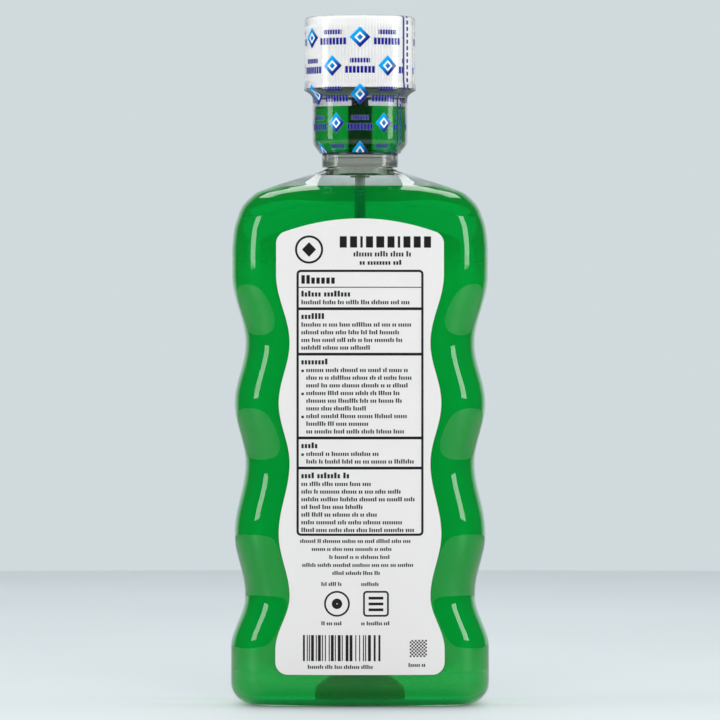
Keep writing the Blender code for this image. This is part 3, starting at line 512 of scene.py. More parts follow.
def lathe(name, profile, look, sides=LATHE_SIDES, round_by=SMALL_ROUND):
    """Turns a closed profile of (r, z) points about Z."""
    form = Form()
    points = soften(list(profile), round_by)
    loops = [form.add([(0, 0, z)] if r == 0 else circles([(r, z)], sides)[0]) for r, z in points]
    for low, high in zip(loops, loops[1:] + loops[:1]):
        if len(low) > 1 and len(high) > 1:
            form.band(low, high)
        elif len(low) != len(high):
            tip, ring = sorted((low, high), key=len)
            form.fan(ring, tip[0])
    return build(name, form, look, even=True)


def beside(path, distance):
    """A path of points, moved to its left by a distance."""
    along = np.gradient(path, axis=0)
    along /= np.linalg.norm(along, axis=1)[:, None]
    return path + np.stack([-along[:, 1], along[:, 0]], axis=1) * distance


# Bottle body

def wave(z):
    """The silhouette's half width between the base and the shoulder, as half cosines."""
    for (z0, half0), (z1, half1) in zip(TURNING_POINTS, TURNING_POINTS[1:]):
        if z <= z1:
            share = (1 - math.cos(math.pi * max((z - z0) / (z1 - z0), 0))) / 2
            return half0 + (half1 - half0) * share
    return TURNING_POINTS[-1][1]


def curve_through(points):
    padded = np.array([points[0], *points, points[-1]])
    fine = []
    for p0, p1, p2, p3 in zip(padded, padded[1:], padded[2:], padded[3:]):
        for t in np.arange(SHOULDER_STEPS) / SHOULDER_STEPS:
            twice = 2 * p1 + (p2 - p0) * t + (2 * p0 - 5 * p1 + 4 * p2 - p3) * t**2
            fine.append((twice + (3 * p1 - p0 - 3 * p2 + p3) * t**3) / 2)
    return fine + [padded[-1]]


def shoulder(body_half, foot, top, shares):
    reach = body_half - NECK_RADIUS
    points = [(NECK_RADIUS + reach * out, foot + (top - foot) * up) for out, up in shares]
    return curve_through([(body_half, foot), *points, (NECK_RADIUS, top)])


def silhouette(base_half, rows, *shoulder_facts):
    """Half an outline: the base's round corner, the rows above it, the shoulder and the neck."""
    corner = arc((base_half - BASE_ROUND, BASE_ROUND), BASE_ROUND, -90, 0, CORNER_STEPS)
    return np.array(corner + rows + shoulder(*shoulder_facts) + [(NECK_RADIUS, NECK_TOP)])


SIDE_ROWS = [(wave(z), z) for z in np.arange(BASE_ROUND + BODY_ROW, SIDE_SHOULDER, BODY_ROW / 2)]
OUTLINES = (
    silhouette(BASE_BULGE_HALF, SIDE_ROWS, TOP_BULGE_HALF, SIDE_SHOULDER, SADDLE_TOP, SHOULDER_SIDE_SHARES),
    silhouette(HALF_DEPTH, [], HALF_DEPTH, FRONT_SHOULDER, NECK_FOOT, SHOULDER_FRONT_SHARES),
)


@cache
def drawn_in(inset):
    """Both outlines moved inwards by a wall, as rising heights with their half sizes."""
    moved = [beside(outline, inset) for outline in OUTLINES]
    return [(np.maximum.accumulate(path[:, 1]), path[:, 0]) for path in moved]


def sizes_at(z, inset):
    return [float(np.interp(z, heights, halves)) for heights, halves in drawn_in(inset)]


def section(z, inset):
    """The body's outline at a height: gently curved panels and rounded sides, round at the neck."""
    half_width, half_depth = sizes_at(z, inset)
    full_width, full_depth = sizes_at(min(max(z, BASE_ROUND), SIDE_SHOULDER), inset)
    shrink = 0
    ratio = np.array([half_width / full_width, half_depth / full_depth])
    if z < BASE_ROUND:
        shrink = BASE_BULGE_HALF - inset - half_width
        ratio = np.ones(2)
    quarter = panel_and_side(full_width - shrink, full_depth - shrink)
    turn = np.linspace(0, math.pi / 2, len(quarter))
    round_quarter = np.stack([half_width * np.cos(turn), half_depth * np.sin(turn)], axis=1) / ratio
    roundness = min(max((z - FRONT_SHOULDER) / (NECK_FOOT - FRONT_SHOULDER), 0), 1)
    return mirrored((quarter + (round_quarter - quarter) * roundness) * ratio, z)


def panel_and_side(half_width, half_depth):
    edge = half_width - SIDE_RUN
    edge_y = half_depth - edge**2 / (2 * PANEL_RADIUS)
    pull = (edge + SIDE_PULL_ACROSS, edge_y - SIDE_PULL_ACROSS * edge / PANEL_RADIUS)
    nodes = np.array([(half_width, 0), (half_width, edge_y * SIDE_PULL_ALONG_SHARE), pull, (edge, edge_y)])
    t = np.arange(SIDE_STEPS)[:, None] / SIDE_STEPS
    weights = ((1 - t) ** 3, 3 * t * (1 - t) ** 2, 3 * t**2 * (1 - t), t**3)
    side = sum(weight * node for weight, node in zip(weights, nodes))
    x = edge * (1 - np.arange(PANEL_STEPS + 1) / PANEL_STEPS)
    panel = np.stack([x, half_depth - x**2 / (2 * PANEL_RADIUS)], axis=1)
    return np.concatenate([side, panel])


def mirrored(quarter, z):
    """The whole outline from its first quarter, counterclockwise."""
    across = np.array([-1, 1])
    flat = np.concatenate([quarter, quarter[-2::-1] * across, -quarter[1:], quarter[-2:0:-1] * -across])
    return at_height(flat, z)


def skin_heights(inset):
    """Ring heights from the base's corner to the top of the shoulder."""
    corner = [z for _, z in arc((0, BASE_ROUND), BASE_ROUND - inset, -90, 0, CORNER_STEPS)][1:-1]
    body = list(np.arange(BASE_ROUND, SIDE_SHOULDER, BODY_ROW))
    bends = [z for outline in OUTLINES for z in outline[:, 1]]
    heights = body[-1:]
    for z in sorted(z for z in bends if SIDE_SHOULDER <= z < SADDLE_TOP):
        if z - heights[-1] > SHOULDER_ROW:
            heights.append(z)
    return corner + body + heights[1:]


def scaled(ring, share, z):
    """A ring at a height, drawn towards the axis by one share, or by one for each point."""
    return at_height(ring[:, :2] * np.reshape(share, (-1, 1)), z)


def base_ring(grow, z=0):
    """The standing ring's outer edge, moved out by a distance, at a height."""
    halves = np.array([BASE_BULGE_HALF, HALF_DEPTH]) - BASE_ROUND
    return scaled(section(0, 0) * np.append((halves + grow) / halves, 1), 1, z)


def push_up_rings(lift, inset):
    """Rings of the base's hollow, from near its middle out to the standing ring."""
    rim = base_ring(-STAND_WIDTH - inset)
    curve = curve_through([(1.0, 0.0), *PUSH_UP_SHARES, (0.0, 1.0)])
    return [scaled(rim, share, PUSH_UP_HEIGHT * rise + lift) for share, rise in reversed(curve[:-1])]


def inner_section(z, inset):
    """The wall's inner outline at a height. The wall thickens towards the neck and ends on its bore."""
    ring = section(z, inset)
    share = min(max((z - FRONT_SHOULDER) / (SADDLE_TOP - FRONT_SHOULDER), 0), 1) ** 2
    reach = np.hypot(ring[:, 0], ring[:, 1])
    return scaled(ring, np.maximum(reach - (NECK_WALL - WALL) * share, NECK_BORE) / reach, z)


def with_parting_line(ring):
    """A fine raised line at both sides, where the halves of the mould met."""
    kept = ring.copy()
    ring = ring * np.array([1 - PARTING_LINE / BASE_BULGE_HALF, 1.0, 1.0])
    for j in (0, RING_COUNT // 2):
        ring[j] = kept[j]
    return ring


def beaded(radius, z, middle, depth, half_width):
    """A wall's radius at a height, with a round bead on it."""
    return radius + depth * max(1 - ((z - middle) / half_width) ** 2, 0)


def bottle_wall(look):
    top = NECK_TOP - SMALL_ROUND
    neck_heights = np.linspace(SADDLE_TOP, top, 2 * CORNER_STEPS)
    neck = [(beaded(NECK_RADIUS, z, BEAD, BEAD_DEPTH, BEAD_HALF_WIDTH), z) for z in neck_heights]
    neck += arc((NECK_RADIUS - SMALL_ROUND, top), SMALL_ROUND, 0, 90, ROUND_STEPS)[1:]
    rings = [*push_up_rings(0, 0), section(0, 0)]
    rings += [with_parting_line(section(z, 0)) for z in skin_heights(0)]
    rings += circles(neck, RING_COUNT)
    inner = [*push_up_rings(BASE_WALL, WALL), base_ring(-WALL, BASE_WALL)]
    inner += [inner_section(z, WALL) for z in skin_heights(WALL) if z > BASE_WALL]
    inner += circles([(NECK_BORE, z) for z in (SADDLE_TOP, top, NECK_TOP)], RING_COUNT)
    tips = (0, 0, PUSH_UP_HEIGHT), (0, 0, PUSH_UP_HEIGHT + BASE_WALL)
    return build("clear_wall", Form(rings + inner[::-1], *tips), look)


def bulk_liquid(look):
    """The mouthwash, with a raised edge where its level meets the wall, and a column inside the dip tube."""
    inset = WALL - BITE
    lift = BASE_WALL - BITE
    rings = [*push_up_rings(lift, inset), base_ring(-inset, lift)]
    rings += [inner_section(z, inset) for z in skin_heights(inset) if lift < z < LEVEL]
    edge = inner_section(LEVEL + MENISCUS, inset)
    rings += [inner_section(LEVEL, inset), edge]
    rings += [scaled(edge, share, LEVEL + MENISCUS * rise) for share, rise in MENISCUS_SHARES]
    side = TUBE_RADIUS - BITE
    bore = TUBE_BORE_RADIUS + BITE
    foot = TUBE_FOOT + BITE
    rings += circles([(side, LEVEL), (side, foot), (bore, foot), (bore, LEVEL)], RING_COUNT)
    return build("green_liquid", Form(rings, (0, 0, PUSH_UP_HEIGHT + lift), (0, 0, LEVEL)), look)


# Pieces in the neck and the cup

def dip_tube(look):
    profile = (
        (TUBE_RADIUS, TUBE_FOOT), (TUBE_RADIUS, TUBE_TOP), (TUBE_BORE_RADIUS, TUBE_TOP),
        (TUBE_BORE_RADIUS, TUBE_FOOT),
    )
    return lathe("draw_tube", profile, look, TUBE_SIDES)


def neck_plug(look):
    flange = NECK_RADIUS - GAP
    flange_foot = NECK_TOP + GAP
    skirt = NECK_BORE - GAP
    skirt_foot = NECK_TOP - PLUG_DEPTH
    socket = TUBE_RADIUS + GAP
    hub = socket + PLUG_HUB_WALL
    seat = TUBE_TOP + GAP
    profile = (
        (flange, flange_foot), (flange, PLUG_TOP), (PLUG_PASSAGE_RADIUS, PLUG_TOP),
        (PLUG_PASSAGE_RADIUS, seat), (socket, seat), (socket, HUB_FOOT), (hub, HUB_FOOT), (hub, flange_foot),
        (skirt - PLUG_WALL, flange_foot), (skirt - PLUG_WALL, skirt_foot), (skirt, skirt_foot),
        (skirt, flange_foot),
    )
    return lathe("neck_fitment", profile, look)


def standpipe(look):
    bore = PIPE_RADIUS - PIPE_WALL
    roof = PIPE_TOP - PIPE_ROOF
    profile = (
        (PIPE_RADIUS, PIPE_FOOT), (PIPE_RADIUS, PIPE_FLANGE), (PIPE_FLANGE_RADIUS, PIPE_FLANGE),
        (PIPE_FLANGE_RADIUS, PIPE_FLANGE_TOP), (PIPE_RADIUS, PIPE_FLANGE_TOP), (PIPE_RADIUS, PIPE_TOP),
        (0, PIPE_TOP), (0, roof), (bore, roof), (bore, PIPE_FOOT),
    )
    pipe = lathe("upright_pipe", profile, look, 2 * TUBE_SIDES)
    cut_windows(pipe, look)
    return pipe


def cut_windows(pipe, look):
    """Cuts a rounded bar's width through both sides of the pipe."""
    half = WINDOW_WIDTH / 2
    outline = [(-half, WINDOW_SILL), (half, WINDOW_SILL), (half, WINDOW_HEAD), (-half, WINDOW_HEAD)]
    form = Form()
    ends = []
    for x in (-2 * PIPE_RADIUS, 2 * PIPE_RADIUS):
        ends.append(form.add([(x, y, z) for y, z in soften(outline, WINDOW_WIDTH)]))
    form.band(*ends)
    form.faces += [tuple(end) for end in ends]
    bar = build("window_bar", form, look)
    cut = pipe.modifiers.new("windows", "BOOLEAN")
    cut.operation = "DIFFERENCE"
    cut.object = bar
    cut.solver = "EXACT"
    bpy.context.view_layer.update()
    evaluated = pipe.evaluated_get(bpy.context.evaluated_depsgraph_get())
    cut_mesh = bpy.data.meshes.new_from_object(evaluated)
    pipe.modifiers.clear()
    pipe.data = cut_mesh
    bpy.data.objects.remove(bar)


def cup_dose(look):
    """The liquid in the cup, with a well round the pipe and a raised edge at the wall."""
    foot = CUP_FLOOR_TOP - BITE
    flange = PIPE_FLANGE_RADIUS - BITE
    flange_top = PIPE_FLANGE_TOP - BITE
    side = CUP_BORE + BITE
    well = PIPE_RADIUS - BITE
    rise = MENISCUS / 2
    profile = [
        (flange, foot), (CUP_SKIRT_RADIUS - CUP_WALL, foot), (side, CUP_CONE_TOP),
        (side, DOSE_LEVEL + rise), (CUP_BORE - rise, DOSE_LEVEL + rise / 4),
        (CUP_BORE - MENISCUS * 2, DOSE_LEVEL),
        (PIPE_RADIUS + MENISCUS * 2, DOSE_LEVEL), (PIPE_RADIUS + rise, DOSE_LEVEL + rise / 4),
        (well, DOSE_LEVEL + rise), (well, flange_top), (flange, flange_top),
    ]
    return lathe("cup_liquid", profile, look, round_by=BITE)


def ridge_height(angles, z, foot, base, crest):
    """How far the thread's ridges stand out at each angle of one height. They run out at both ends."""
    height = np.zeros(len(angles))
    for start in range(THREAD_STARTS):
        turn = ((angles - THREAD_START_ANGLE - math.tau * start / THREAD_STARTS) % math.tau) / math.tau
        across = np.abs(z - foot - THREAD_LEAD * turn)
        rise = np.clip((base / 2 - across) / ((base - crest) / 2), 0, 1)
        ends = smooth(np.minimum(turn, THREAD_TURNS - turn) / THREAD_RUN_OUT_SHARE)
        height = np.maximum(height, THREAD_DEPTH * rise * ends)
    return height


def threaded_rings(radius_of, thread, outwards, low, high, sides):
    """Rings of a wall with thread ridges on it, from a low to a high place."""
    angles = all_round(sides)
    heights = np.linspace(low, high, math.ceil((high - low) / THREAD_ROW))
    return [ring_at(radius_of(z) + outwards * ridge_height(angles, z, *thread), z, angles) for z in heights]


def cup_radius(z):
    return beaded(CUP_RADIUS, z, CUP_BEAD, CUP_BEAD_DEPTH, CUP_BEAD_HALF_WIDTH)


def dosing_cup(look):
    skirt = [(CUP_SKIRT_RADIUS, CUP_FOOT), (CUP_SKIRT_RADIUS, CUP_FLOOR)]
    foot = soften([(CUP_SOCKET, CUP_FOOT), *skirt], SMALL_ROUND)
    cone = soften([*skirt, (CUP_RADIUS, CUP_CONE_TOP), (CUP_RADIUS, CUP_BEAD)], 2 * SMALL_ROUND)
    rings = circles(foot[ROUND_STEPS + 1:2 * ROUND_STEPS + 2] + cone[ROUND_STEPS + 1:3 * ROUND_STEPS + 3])
    low = CUP_CONE_TOP + CUP_WALL
    rings += threaded_rings(cup_radius, CUP_THREAD, 1, low, CUP_RIM - CUP_WALL, LATHE_SIDES)
    rim = CUP_WALL / 2
    rings += circles(arc((CUP_RADIUS - rim, CUP_RIM - rim), rim, 0, 180, 2 * ROUND_STEPS))
    rings += circles([
        (CUP_BORE, low), (CUP_BORE, CUP_CONE_TOP), (CUP_SKIRT_RADIUS - CUP_WALL, CUP_FLOOR_TOP),
        (PIPE_RADIUS + GAP, CUP_FLOOR_TOP), (PIPE_RADIUS + GAP, CUP_FLOOR), (CUP_SOCKET, CUP_FLOOR),
        (CUP_SOCKET, BEAD + BEAD_HALF_WIDTH), (CUP_SOCKET + BEAD_DEPTH, BEAD),
        (CUP_SOCKET, BEAD - BEAD_HALF_WIDTH), (CUP_SOCKET, CUP_FOOT),
    ])
    form = Form()
    loops = form.skin(rings)
    form.band(loops[-1], loops[0])
    return build("clear_dosing_cup", form, look, even=True)


# Cap and sleeve

def ribbed_side(plain, foot, top, angles):
    """Rings of rounded upright ribs that fade out at both ends of the side."""
    ribs = CAP_RIB_DEPTH * (0.5 - 0.5 * np.cos(CAP_RIBS * angles)) ** RIB_FULLNESS_SHARE
    rings = []
    for z in np.linspace(foot, top, 2 * CORNER_STEPS)[1:-1]:
        share = float(smooth(min(z - foot, top - z) / CAP_HEM))
        rings.append(ring_at(plain + (CAP_RIB_DEPTH - ribs) * share, z, angles))
    return rings


def ribbed_cap(look):
    """A cap with rounded upright ribs, a slightly dished top with its moulding nub, and a thread inside."""
    sides = CAP_RIBS * RIB_POINTS
    plain = CAP_RADIUS - CAP_RIB_DEPTH + CAP_SWELL
    cap_top = CAP_TOP + CAP_SWELL
    foot = CAP_FOOT + SMALL_ROUND / 2
    hem_top = CAP_FOOT + CAP_HEM
    rib_top = cap_top - CAP_EDGE_ROUND - CAP_HEM
    edge = (plain - CAP_EDGE_ROUND, cap_top - CAP_EDGE_ROUND)
    rim = plain - 2 * CAP_EDGE_ROUND
    dish = cap_top - SMALL_ROUND / 2
    rings = circles([(plain - SMALL_ROUND / 2, CAP_FOOT), (plain, foot), (plain, hem_top)], sides)
    rings += ribbed_side(plain, hem_top, rib_top, all_round(sides))
    rings += circles([(plain, rib_top), *arc(edge, CAP_EDGE_ROUND, 0, 90, 2 * ROUND_STEPS)], sides)
    rings += circles([
        (rim, cap_top), (rim - SMALL_ROUND, dish), (NUB_RADIUS + SMALL_ROUND, dish),
        (NUB_RADIUS, dish + NUB_HEIGHT / 2), (NUB_RADIUS / 2, dish + NUB_HEIGHT),
    ], sides)
    inside = circles([(CAP_BORE + SMALL_ROUND / 2, CAP_FOOT)], sides)
    inside += threaded_rings(lambda z: CAP_BORE, CAP_THREAD, -1, foot, CAP_CEILING, sides)
    form = Form()
    outer = form.skin(rings, None, (0, 0, dish + NUB_HEIGHT))
    inner = form.skin(inside, None, (0, 0, CAP_CEILING))
    form.band(outer[0], inner[0])
    return build("ribbed_cap", form, look, even=True)


def sealing_disc(look):
    radius = CAP_BORE - GAP
    profile = ((0, LINER_FOOT), (radius, LINER_FOOT), (radius, LINER_TOP), (0, LINER_TOP))
    return lathe("sealing_disc", profile, look)


def upper_film_path():
    """The film's outer face over the cap, from its hole on top round the edge and down."""
    side = CAP_RADIUS + CAP_HUG
    top = CAP_TOP + CAP_HUG
    hem = CAP_FOOT + 2 * CAP_HEM
    path = [(side - SLEEVE_RIM_WIDTH, top), (side - SLEEVE_RIM_WIDTH * HOLE_EDGE_SHARE, top)]
    path += arc((side - CAP_EDGE_ROUND, top - CAP_EDGE_ROUND), CAP_EDGE_ROUND, 90, 0, 3 * ROUND_STEPS)
    path += [(side, z) for z in np.linspace(CAP_TOP - 3 * CAP_EDGE_ROUND, hem, CORNER_STEPS)]
    for s in np.linspace(0, 1, 2 * ROUND_STEPS + 1)[1:]:
        path.append((side + HEM_FLARE * float(smooth(2 * s)), SLEEVE_SPLIT + (hem - SLEEVE_SPLIT) * (1 - s)))
    return path


def lower_film_path():
    """The film's outer face below the cap: drawn in to the cup, then down its wall and cone."""
    start = CAP_RADIUS + CAP_HUG + HEM_FLARE
    end = CUP_RADIUS + CUP_BEAD_DEPTH + SLEEVE_HUG
    top = SLEEVE_SPLIT - SLEEVE_JOIN
    path = []
    for s in np.linspace(0, 1, CORNER_STEPS):
        path.append((end + (start - end) * (1 - s) ** DRAW_SHARPNESS, top - SLEEVE_DRAW * s))
    for z in np.linspace(top - SLEEVE_DRAW - CAP_HEM, CUP_CONE_TOP + CAP_HEM, CORNER_STEPS):
        path.append((end, z))
    slope = (CUP_RADIUS - CUP_SKIRT_RADIUS) / (CUP_CONE_TOP - CUP_FLOOR)
    for z in np.linspace(CUP_CONE_TOP, SLEEVE_FOOT, ROUND_STEPS + 1):
        path.append((end - slope * (CUP_CONE_TOP - z), z))
    return path


def film_sector(name, path, start, end, look):
    """A sector of thin film inside its outer face, with the faint ripples of shrunk film."""
    outline = [*path, *beside(np.array(path), -SLEEVE_FILM)[::-1]]
    steps = max(round((end - start) / math.tau * 2 * LATHE_SIDES), ROUND_STEPS)
    form = Form()
    slices = []
    for angle in np.linspace(start, end, steps + 1):
        swing = sum(math.sin(count * angle + shift) for count, shift in RIPPLES) / len(RIPPLES)
        sunk = FILM_RIPPLE * (1 - swing)
        points = [((r - sunk) * math.cos(angle), (r - sunk) * math.sin(angle), z) for r, z in outline]
        slices.append(form.add(points))
    for low, high in zip(slices, slices[1:]):
        form.band(low, high)
    form.faces += [tuple(slices[0]), tuple(slices[-1])]
    return build(name, form, look)


def film_pair(half, path, look, strip_look):
    """The film of one half of the sleeve, and its tear strip."""
    seam = SLEEVE_SEAM / CUP_RADIUS
    near = STRIP_DIRECTION - STRIP_HALF_ANGLE
    far = STRIP_DIRECTION + STRIP_HALF_ANGLE
    sleeve = film_sector(half + "_film", path, far + seam, near + math.tau - seam, look)
    strip = film_sector(half + "_strip_film", path, near + seam, far - seam, strip_look)
    sleeve.visible_shadow = strip.visible_shadow = False
    return sleeve, strip


# Labels and their print

def label_reach(z):
    return wave(z) - LABEL_INSET


def label_half(z):
    half = label_reach(z)
    corners = (LABEL_BOTTOM_CORNER, z - LABEL_BOTTOM), (LABEL_TOP_CORNER, LABEL_CORNER_TOP - z)
    for corner, inside in corners:
        if inside < corner:
            half -= corner - math.sqrt(max(corner**2 - (corner - inside) ** 2, 0))
    return half


def label_heights():
    """Row heights: close together at the round corners."""
    near = 1 - np.cos(np.radians(np.linspace(0, 90, CORNER_STEPS)))
    low = list(LABEL_BOTTOM + LABEL_BOTTOM_CORNER * near)
    high = list(LABEL_CORNER_TOP - LABEL_TOP_CORNER * near[::-1])
    return low + list(np.arange(low[-1] + LABEL_ROW, high[0] - LABEL_ROW / 2, LABEL_ROW)) + high


def panel_y(x, lift):
    return HALF_DEPTH - x**2 / (2 * PANEL_RADIUS) + lift


def label_sheet(name, side, look, inner_look):
    """A film label on one panel, printed outside and white inside. Side is -1 at the back, 1 in front."""
    form = Form()
    heights = label_heights()
    grids = [[], []]
    for rows, lift in zip(grids, (-LABEL_SINK, LABEL_LIFT)):
        for z in heights:
            x = np.linspace(-label_half(z), label_half(z), LABEL_COLUMNS + 1)
            arch = (label_reach(z) ** 2 - x**2) / (2 * LABEL_TOP_RADIUS)
            raised = z + arch * (z - LABEL_BOTTOM) / (heights[-1] - LABEL_BOTTOM)
            rows.append(form.add(np.stack([x, side * panel_y(x, lift), raised], axis=1)))
    form.sheet(grids)
    made = build(name, form, look)
    made.data.materials.append(inner_look)
    for face in list(made.data.polygons)[:len(form.faces) // 2]:
        if face.normal.y * side < 0:
            face.material_index = 1
    return made


class Print:
    """Flat ink shapes that lie on one label's curved face. Places are in mm."""

    def __init__(self, side, seed):
        self.side = side
        self.form = Form()
        self.chance = random.Random(seed)

    def slab(self, outline_rows):
        """Rows of (x, z) points of equal count, as a closed sheet of ink."""
        grids = [[], []]
        for rows, lift in zip(grids, (LABEL_LIFT - INK_SINK, LABEL_LIFT + INK)):
            for row in outline_rows:
                x, z = np.array(row).T * MM
                points = np.stack([-self.side * x, self.side * panel_y(x, lift), z], axis=1)
                rows.append(self.form.add(points))
        self.form.sheet(grids)

    def bar(self, x0, x1, z0, z1):
        x = np.linspace(x0, x1, max(math.ceil(abs(x1 - x0) / PRINT_STEP), 1) + 1)
        self.slab([[(a, z) for a in x] for z in (z0, z1)])

    def ring(self, x, z, outer, inner, sides):
        """A round line, as two half rings that meet."""
        for start in (0, 180):
            self.slab([arc((x, z), r, start, start + 180, sides // 2) for r in (inner, outer)])

    def frame(self, x0, x1, z0, z1, line, corner):
        """A ruled box with round corners."""
        left, right, low, high = x0 + corner, x1 - corner, z0 + corner, z1 - corner
        for turn, centre in zip((0, 90, 180, 270), ((right, high), (left, high), (left, low), (right, low))):
            self.slab([arc(centre, r, turn, turn + 90, 2 * ROUND_STEPS) for r in (corner - line, corner)])
        self.bar(left, right, z1 - line, z1)
        self.bar(left, right, z0, z0 + line)
        self.bar(x0, x0 + line, low, high)
        self.bar(x1 - line, x1, low, high)

    def words(self, x, end, z, height, bold=0.0):
        """A line of small upright blocks in groups, where a line of text would be."""
        pitch = height * (LETTER_PITCH_SHARE + bold)
        width = height * (LETTER_WIDTH_SHARE + bold)
        while x + (count := self.chance.randint(*WORD_LETTERS)) * pitch <= end:
            for _ in range(count):
                self.bar(x, x + width, z, z + height * self.chance.choice(LETTER_RISE_SHARES))
                x += pitch
            x += pitch * WORD_SPACE_SHARE


def back_print(look):
    """A ruled panel of lines on the back label, with a heading above it and small marks below."""
    ink = Print(-1, 7)
    heading(ink)
    ruled_panel(ink, *PANEL_BOX)
    foot_marks(ink)
    return build("back_label_print", ink.form, look)


def heading(ink):
    """A ring round a diamond, and beside it a row of bold blocks over two fine lines."""
    x = HEADING_LEFT
    for width in HEADING_BLOCKS:
        ink.bar(x, x + width, HEADING_FOOT, HEADING_FOOT + HEADING_RISE)
        x += width + HEADING_SPACE
    for indent, drop, height, bold in HEADING_LINES:
        ink.words(HEADING_LEFT + indent, x - HEADING_LINE_SPACE, HEADING_FOOT - drop, height, bold)
    ink.ring(*EMBLEM_RING)
    ink.slab([[(x, z) for x in np.linspace(x0, x1, DIAMOND_POINTS)] for x0, x1, z in DIAMOND])


def ruled_panel(ink, left, right, foot, top):
    ink.frame(left, right, foot, top, PANEL_LINE, PANEL_CORNER)
    z = top - PANEL_LINE
    start = left + PANEL_MARGIN
    width = right - PANEL_MARGIN - start
    for rule, head, share, lines, dotted in PANEL_SECTIONS:
        if rule:
            ink.bar(left + PANEL_LINE, right - PANEL_LINE, z - rule, z)
        z -= rule + head + TEXT_GAP
        ink.words(start, start + width * share, z, head, PANEL_BOLD)
        for line in range(lines):
            z -= TEXT_PITCH
            if dotted and line % LINES_PER_DOT == 0:
                ink.bar(start, start + DOT, z, z + DOT)
            indent = 2 * DOT if dotted else 0
            end = start + width - width * ink.chance.choice(LINE_END_SHARES)
            ink.words(start + indent, end, z, TEXT_HEIGHT)
        z -= TEXT_GAP


def foot_marks(ink):
    """Lines below the panel, then rings, a box with bars, captions, uneven stripes and a chequer."""
    for line in FOOT_LINES:
        ink.words(*line)
    for ring in MARK_RINGS:
        ink.ring(*ring)
    ink.frame(*MARK_BOX, MARK_LINE, 2 * MARK_LINE)
    for bar in MARK_BARS:
        ink.bar(*bar)
    for line in CAPTIONS:
        ink.words(*line)
    x, right, z0, z1 = STRIPES_BOX
    while x < right:
        width = ink.chance.choice(STRIPE_WIDTHS)
        ink.bar(x, x + width, z0, z1)
        x += width + ink.chance.choice(STRIPE_GAPS)
    place = [CHECKS_CORNER + CHECK * step for step in range(CHECK_COUNT + 1)]
    for row in range(CHECK_COUNT):
        for column in range(row % 2, CHECK_COUNT, 2):
            ink.bar(place[column], place[column + 1], place[row], place[row + 1])


def front_print(look):
    """A plain title block on the front label."""
    ink = Print(1, 3)
    for block in TITLE_BLOCKS:
        ink.bar(*block)
    for line in TITLE_LINES:
        ink.words(*line)
    ink.ring(*TITLE_RING)
    return build("front_label_print", ink.form, look)


# Materials

class Net:
    """Writes the nodes of one material or world."""

    def __init__(self, made, coordinates="Object"):
        self.made = made
        made.use_nodes = True
        self.nodes = made.node_tree.nodes
        self.shader = self.nodes.get("Principled BSDF")
        self.place = self.node("ShaderNodeTexCoord").outputs[coordinates]
        self.x, self.y, self.z = self.node("ShaderNodeSeparateXYZ", self.place).outputs

    def node(self, kind, *values, **settings):
        """A new node with its settings, and with values or other nodes' results in its first sockets."""
        made = self.nodes.new(kind)
        for key, value in settings.items():
            setattr(made, key, value)
        for value, socket in zip(values, made.inputs):
            self.feed(value, socket)
        return made

    def feed(self, value, socket):
        if isinstance(value, bpy.types.NodeSocket):
            self.made.node_tree.links.new(value, socket)
        else:
            socket.default_value = value

    def set(self, **values):
        for key, value in values.items():
            self.feed(value, self.shader.inputs[key.replace("_", " ")])

    def math(self, operation, *values, clamp=False):
        return self.node("ShaderNodeMath", *values, operation=operation, use_clamp=clamp).outputs[0]

    plus = partialmethod(math, "ADD")
    minus = partialmethod(math, "SUBTRACT")
    over = partialmethod(math, "DIVIDE")
    modulo = partialmethod(math, "MODULO")
    most = partialmethod(math, "MAXIMUM")
    size = partialmethod(math, "ABSOLUTE")
    below = partialmethod(math, "LESS_THAN")

    def times(self, *values):
        return reduce(partial(self.math, "MULTIPLY"), values)

    def remap(self, *values):
        """A value smoothly mapped from a low and a high end to two others."""
        return self.node("ShaderNodeMapRange", *values, interpolation_type="SMOOTHSTEP").outputs[0]

    def rise(self, value, low, high):
        return self.remap(value, low, high, 0.0, 1.0)

    def fall(self, value, low, high):
        return self.remap(value, low, high, 1.0, 0.0)

    def within(self, value, middle, half, soft=EDGE):
        """1 where the value lies within half of the middle, 0 outside."""
        return self.fall(self.size(self.minus(value, middle)), half - soft, half + soft)

    def repeated(self, value, pitch, shift=0.0):
        """The value within its own cell, from -pitch / 2 to pitch / 2."""
        moved = self.plus(self.plus(value, shift), CELLS_BEFORE * pitch)
        return self.minus(self.modulo(moved, pitch), pitch / 2)

    def spread(self, size, stretch=(1, 1, 1)):
        """Coordinates that count in steps of a size, longer along an axis whose stretch is below 1."""
        made = self.node("ShaderNodeMapping", self.place)
        self.feed([s / size for s in stretch], made.inputs["Scale"])
        return made.outputs[0]

    def noise(self, size, detail=2.0, stretch=(1, 1, 1)):
        made = self.node("ShaderNodeTexNoise", self.spread(size, stretch))
        self.feed(1.0, made.inputs["Scale"])
        self.feed(detail, made.inputs["Detail"])
        return made.outputs["Fac"]

    def mix(self, share, *colours):
        made = self.node("ShaderNodeMix", share, data_type="RGBA")
        for colour, socket in zip(colours, made.inputs[MIX_COLOURS]):
            self.feed((*colour, 1.0) if isinstance(colour, tuple) else colour, socket)
        return made.outputs[MIX_RESULT]

    def surface(self, colour, grain, rough, depth=0, ends=GRAIN_ENDS, **others):
        """Sets a colour, a roughness that follows a grain, and bumps of a depth."""
        self.set(Base_Color=colour, Roughness=self.remap(grain, *ends, *rough), **others)
        if depth:
            self.bump(grain, depth)

    def bump(self, height, distance):
        made = self.node("ShaderNodeBump")
        self.feed(height, made.inputs["Height"])
        self.feed(distance, made.inputs["Distance"])
        self.feed(1.0, made.inputs["Strength"])
        self.feed(made.outputs[0], self.shader.inputs["Normal"])


def material(name, write, *facts):
    net = Net(bpy.data.materials.new(name))
    write(net, *facts)
    return net.made


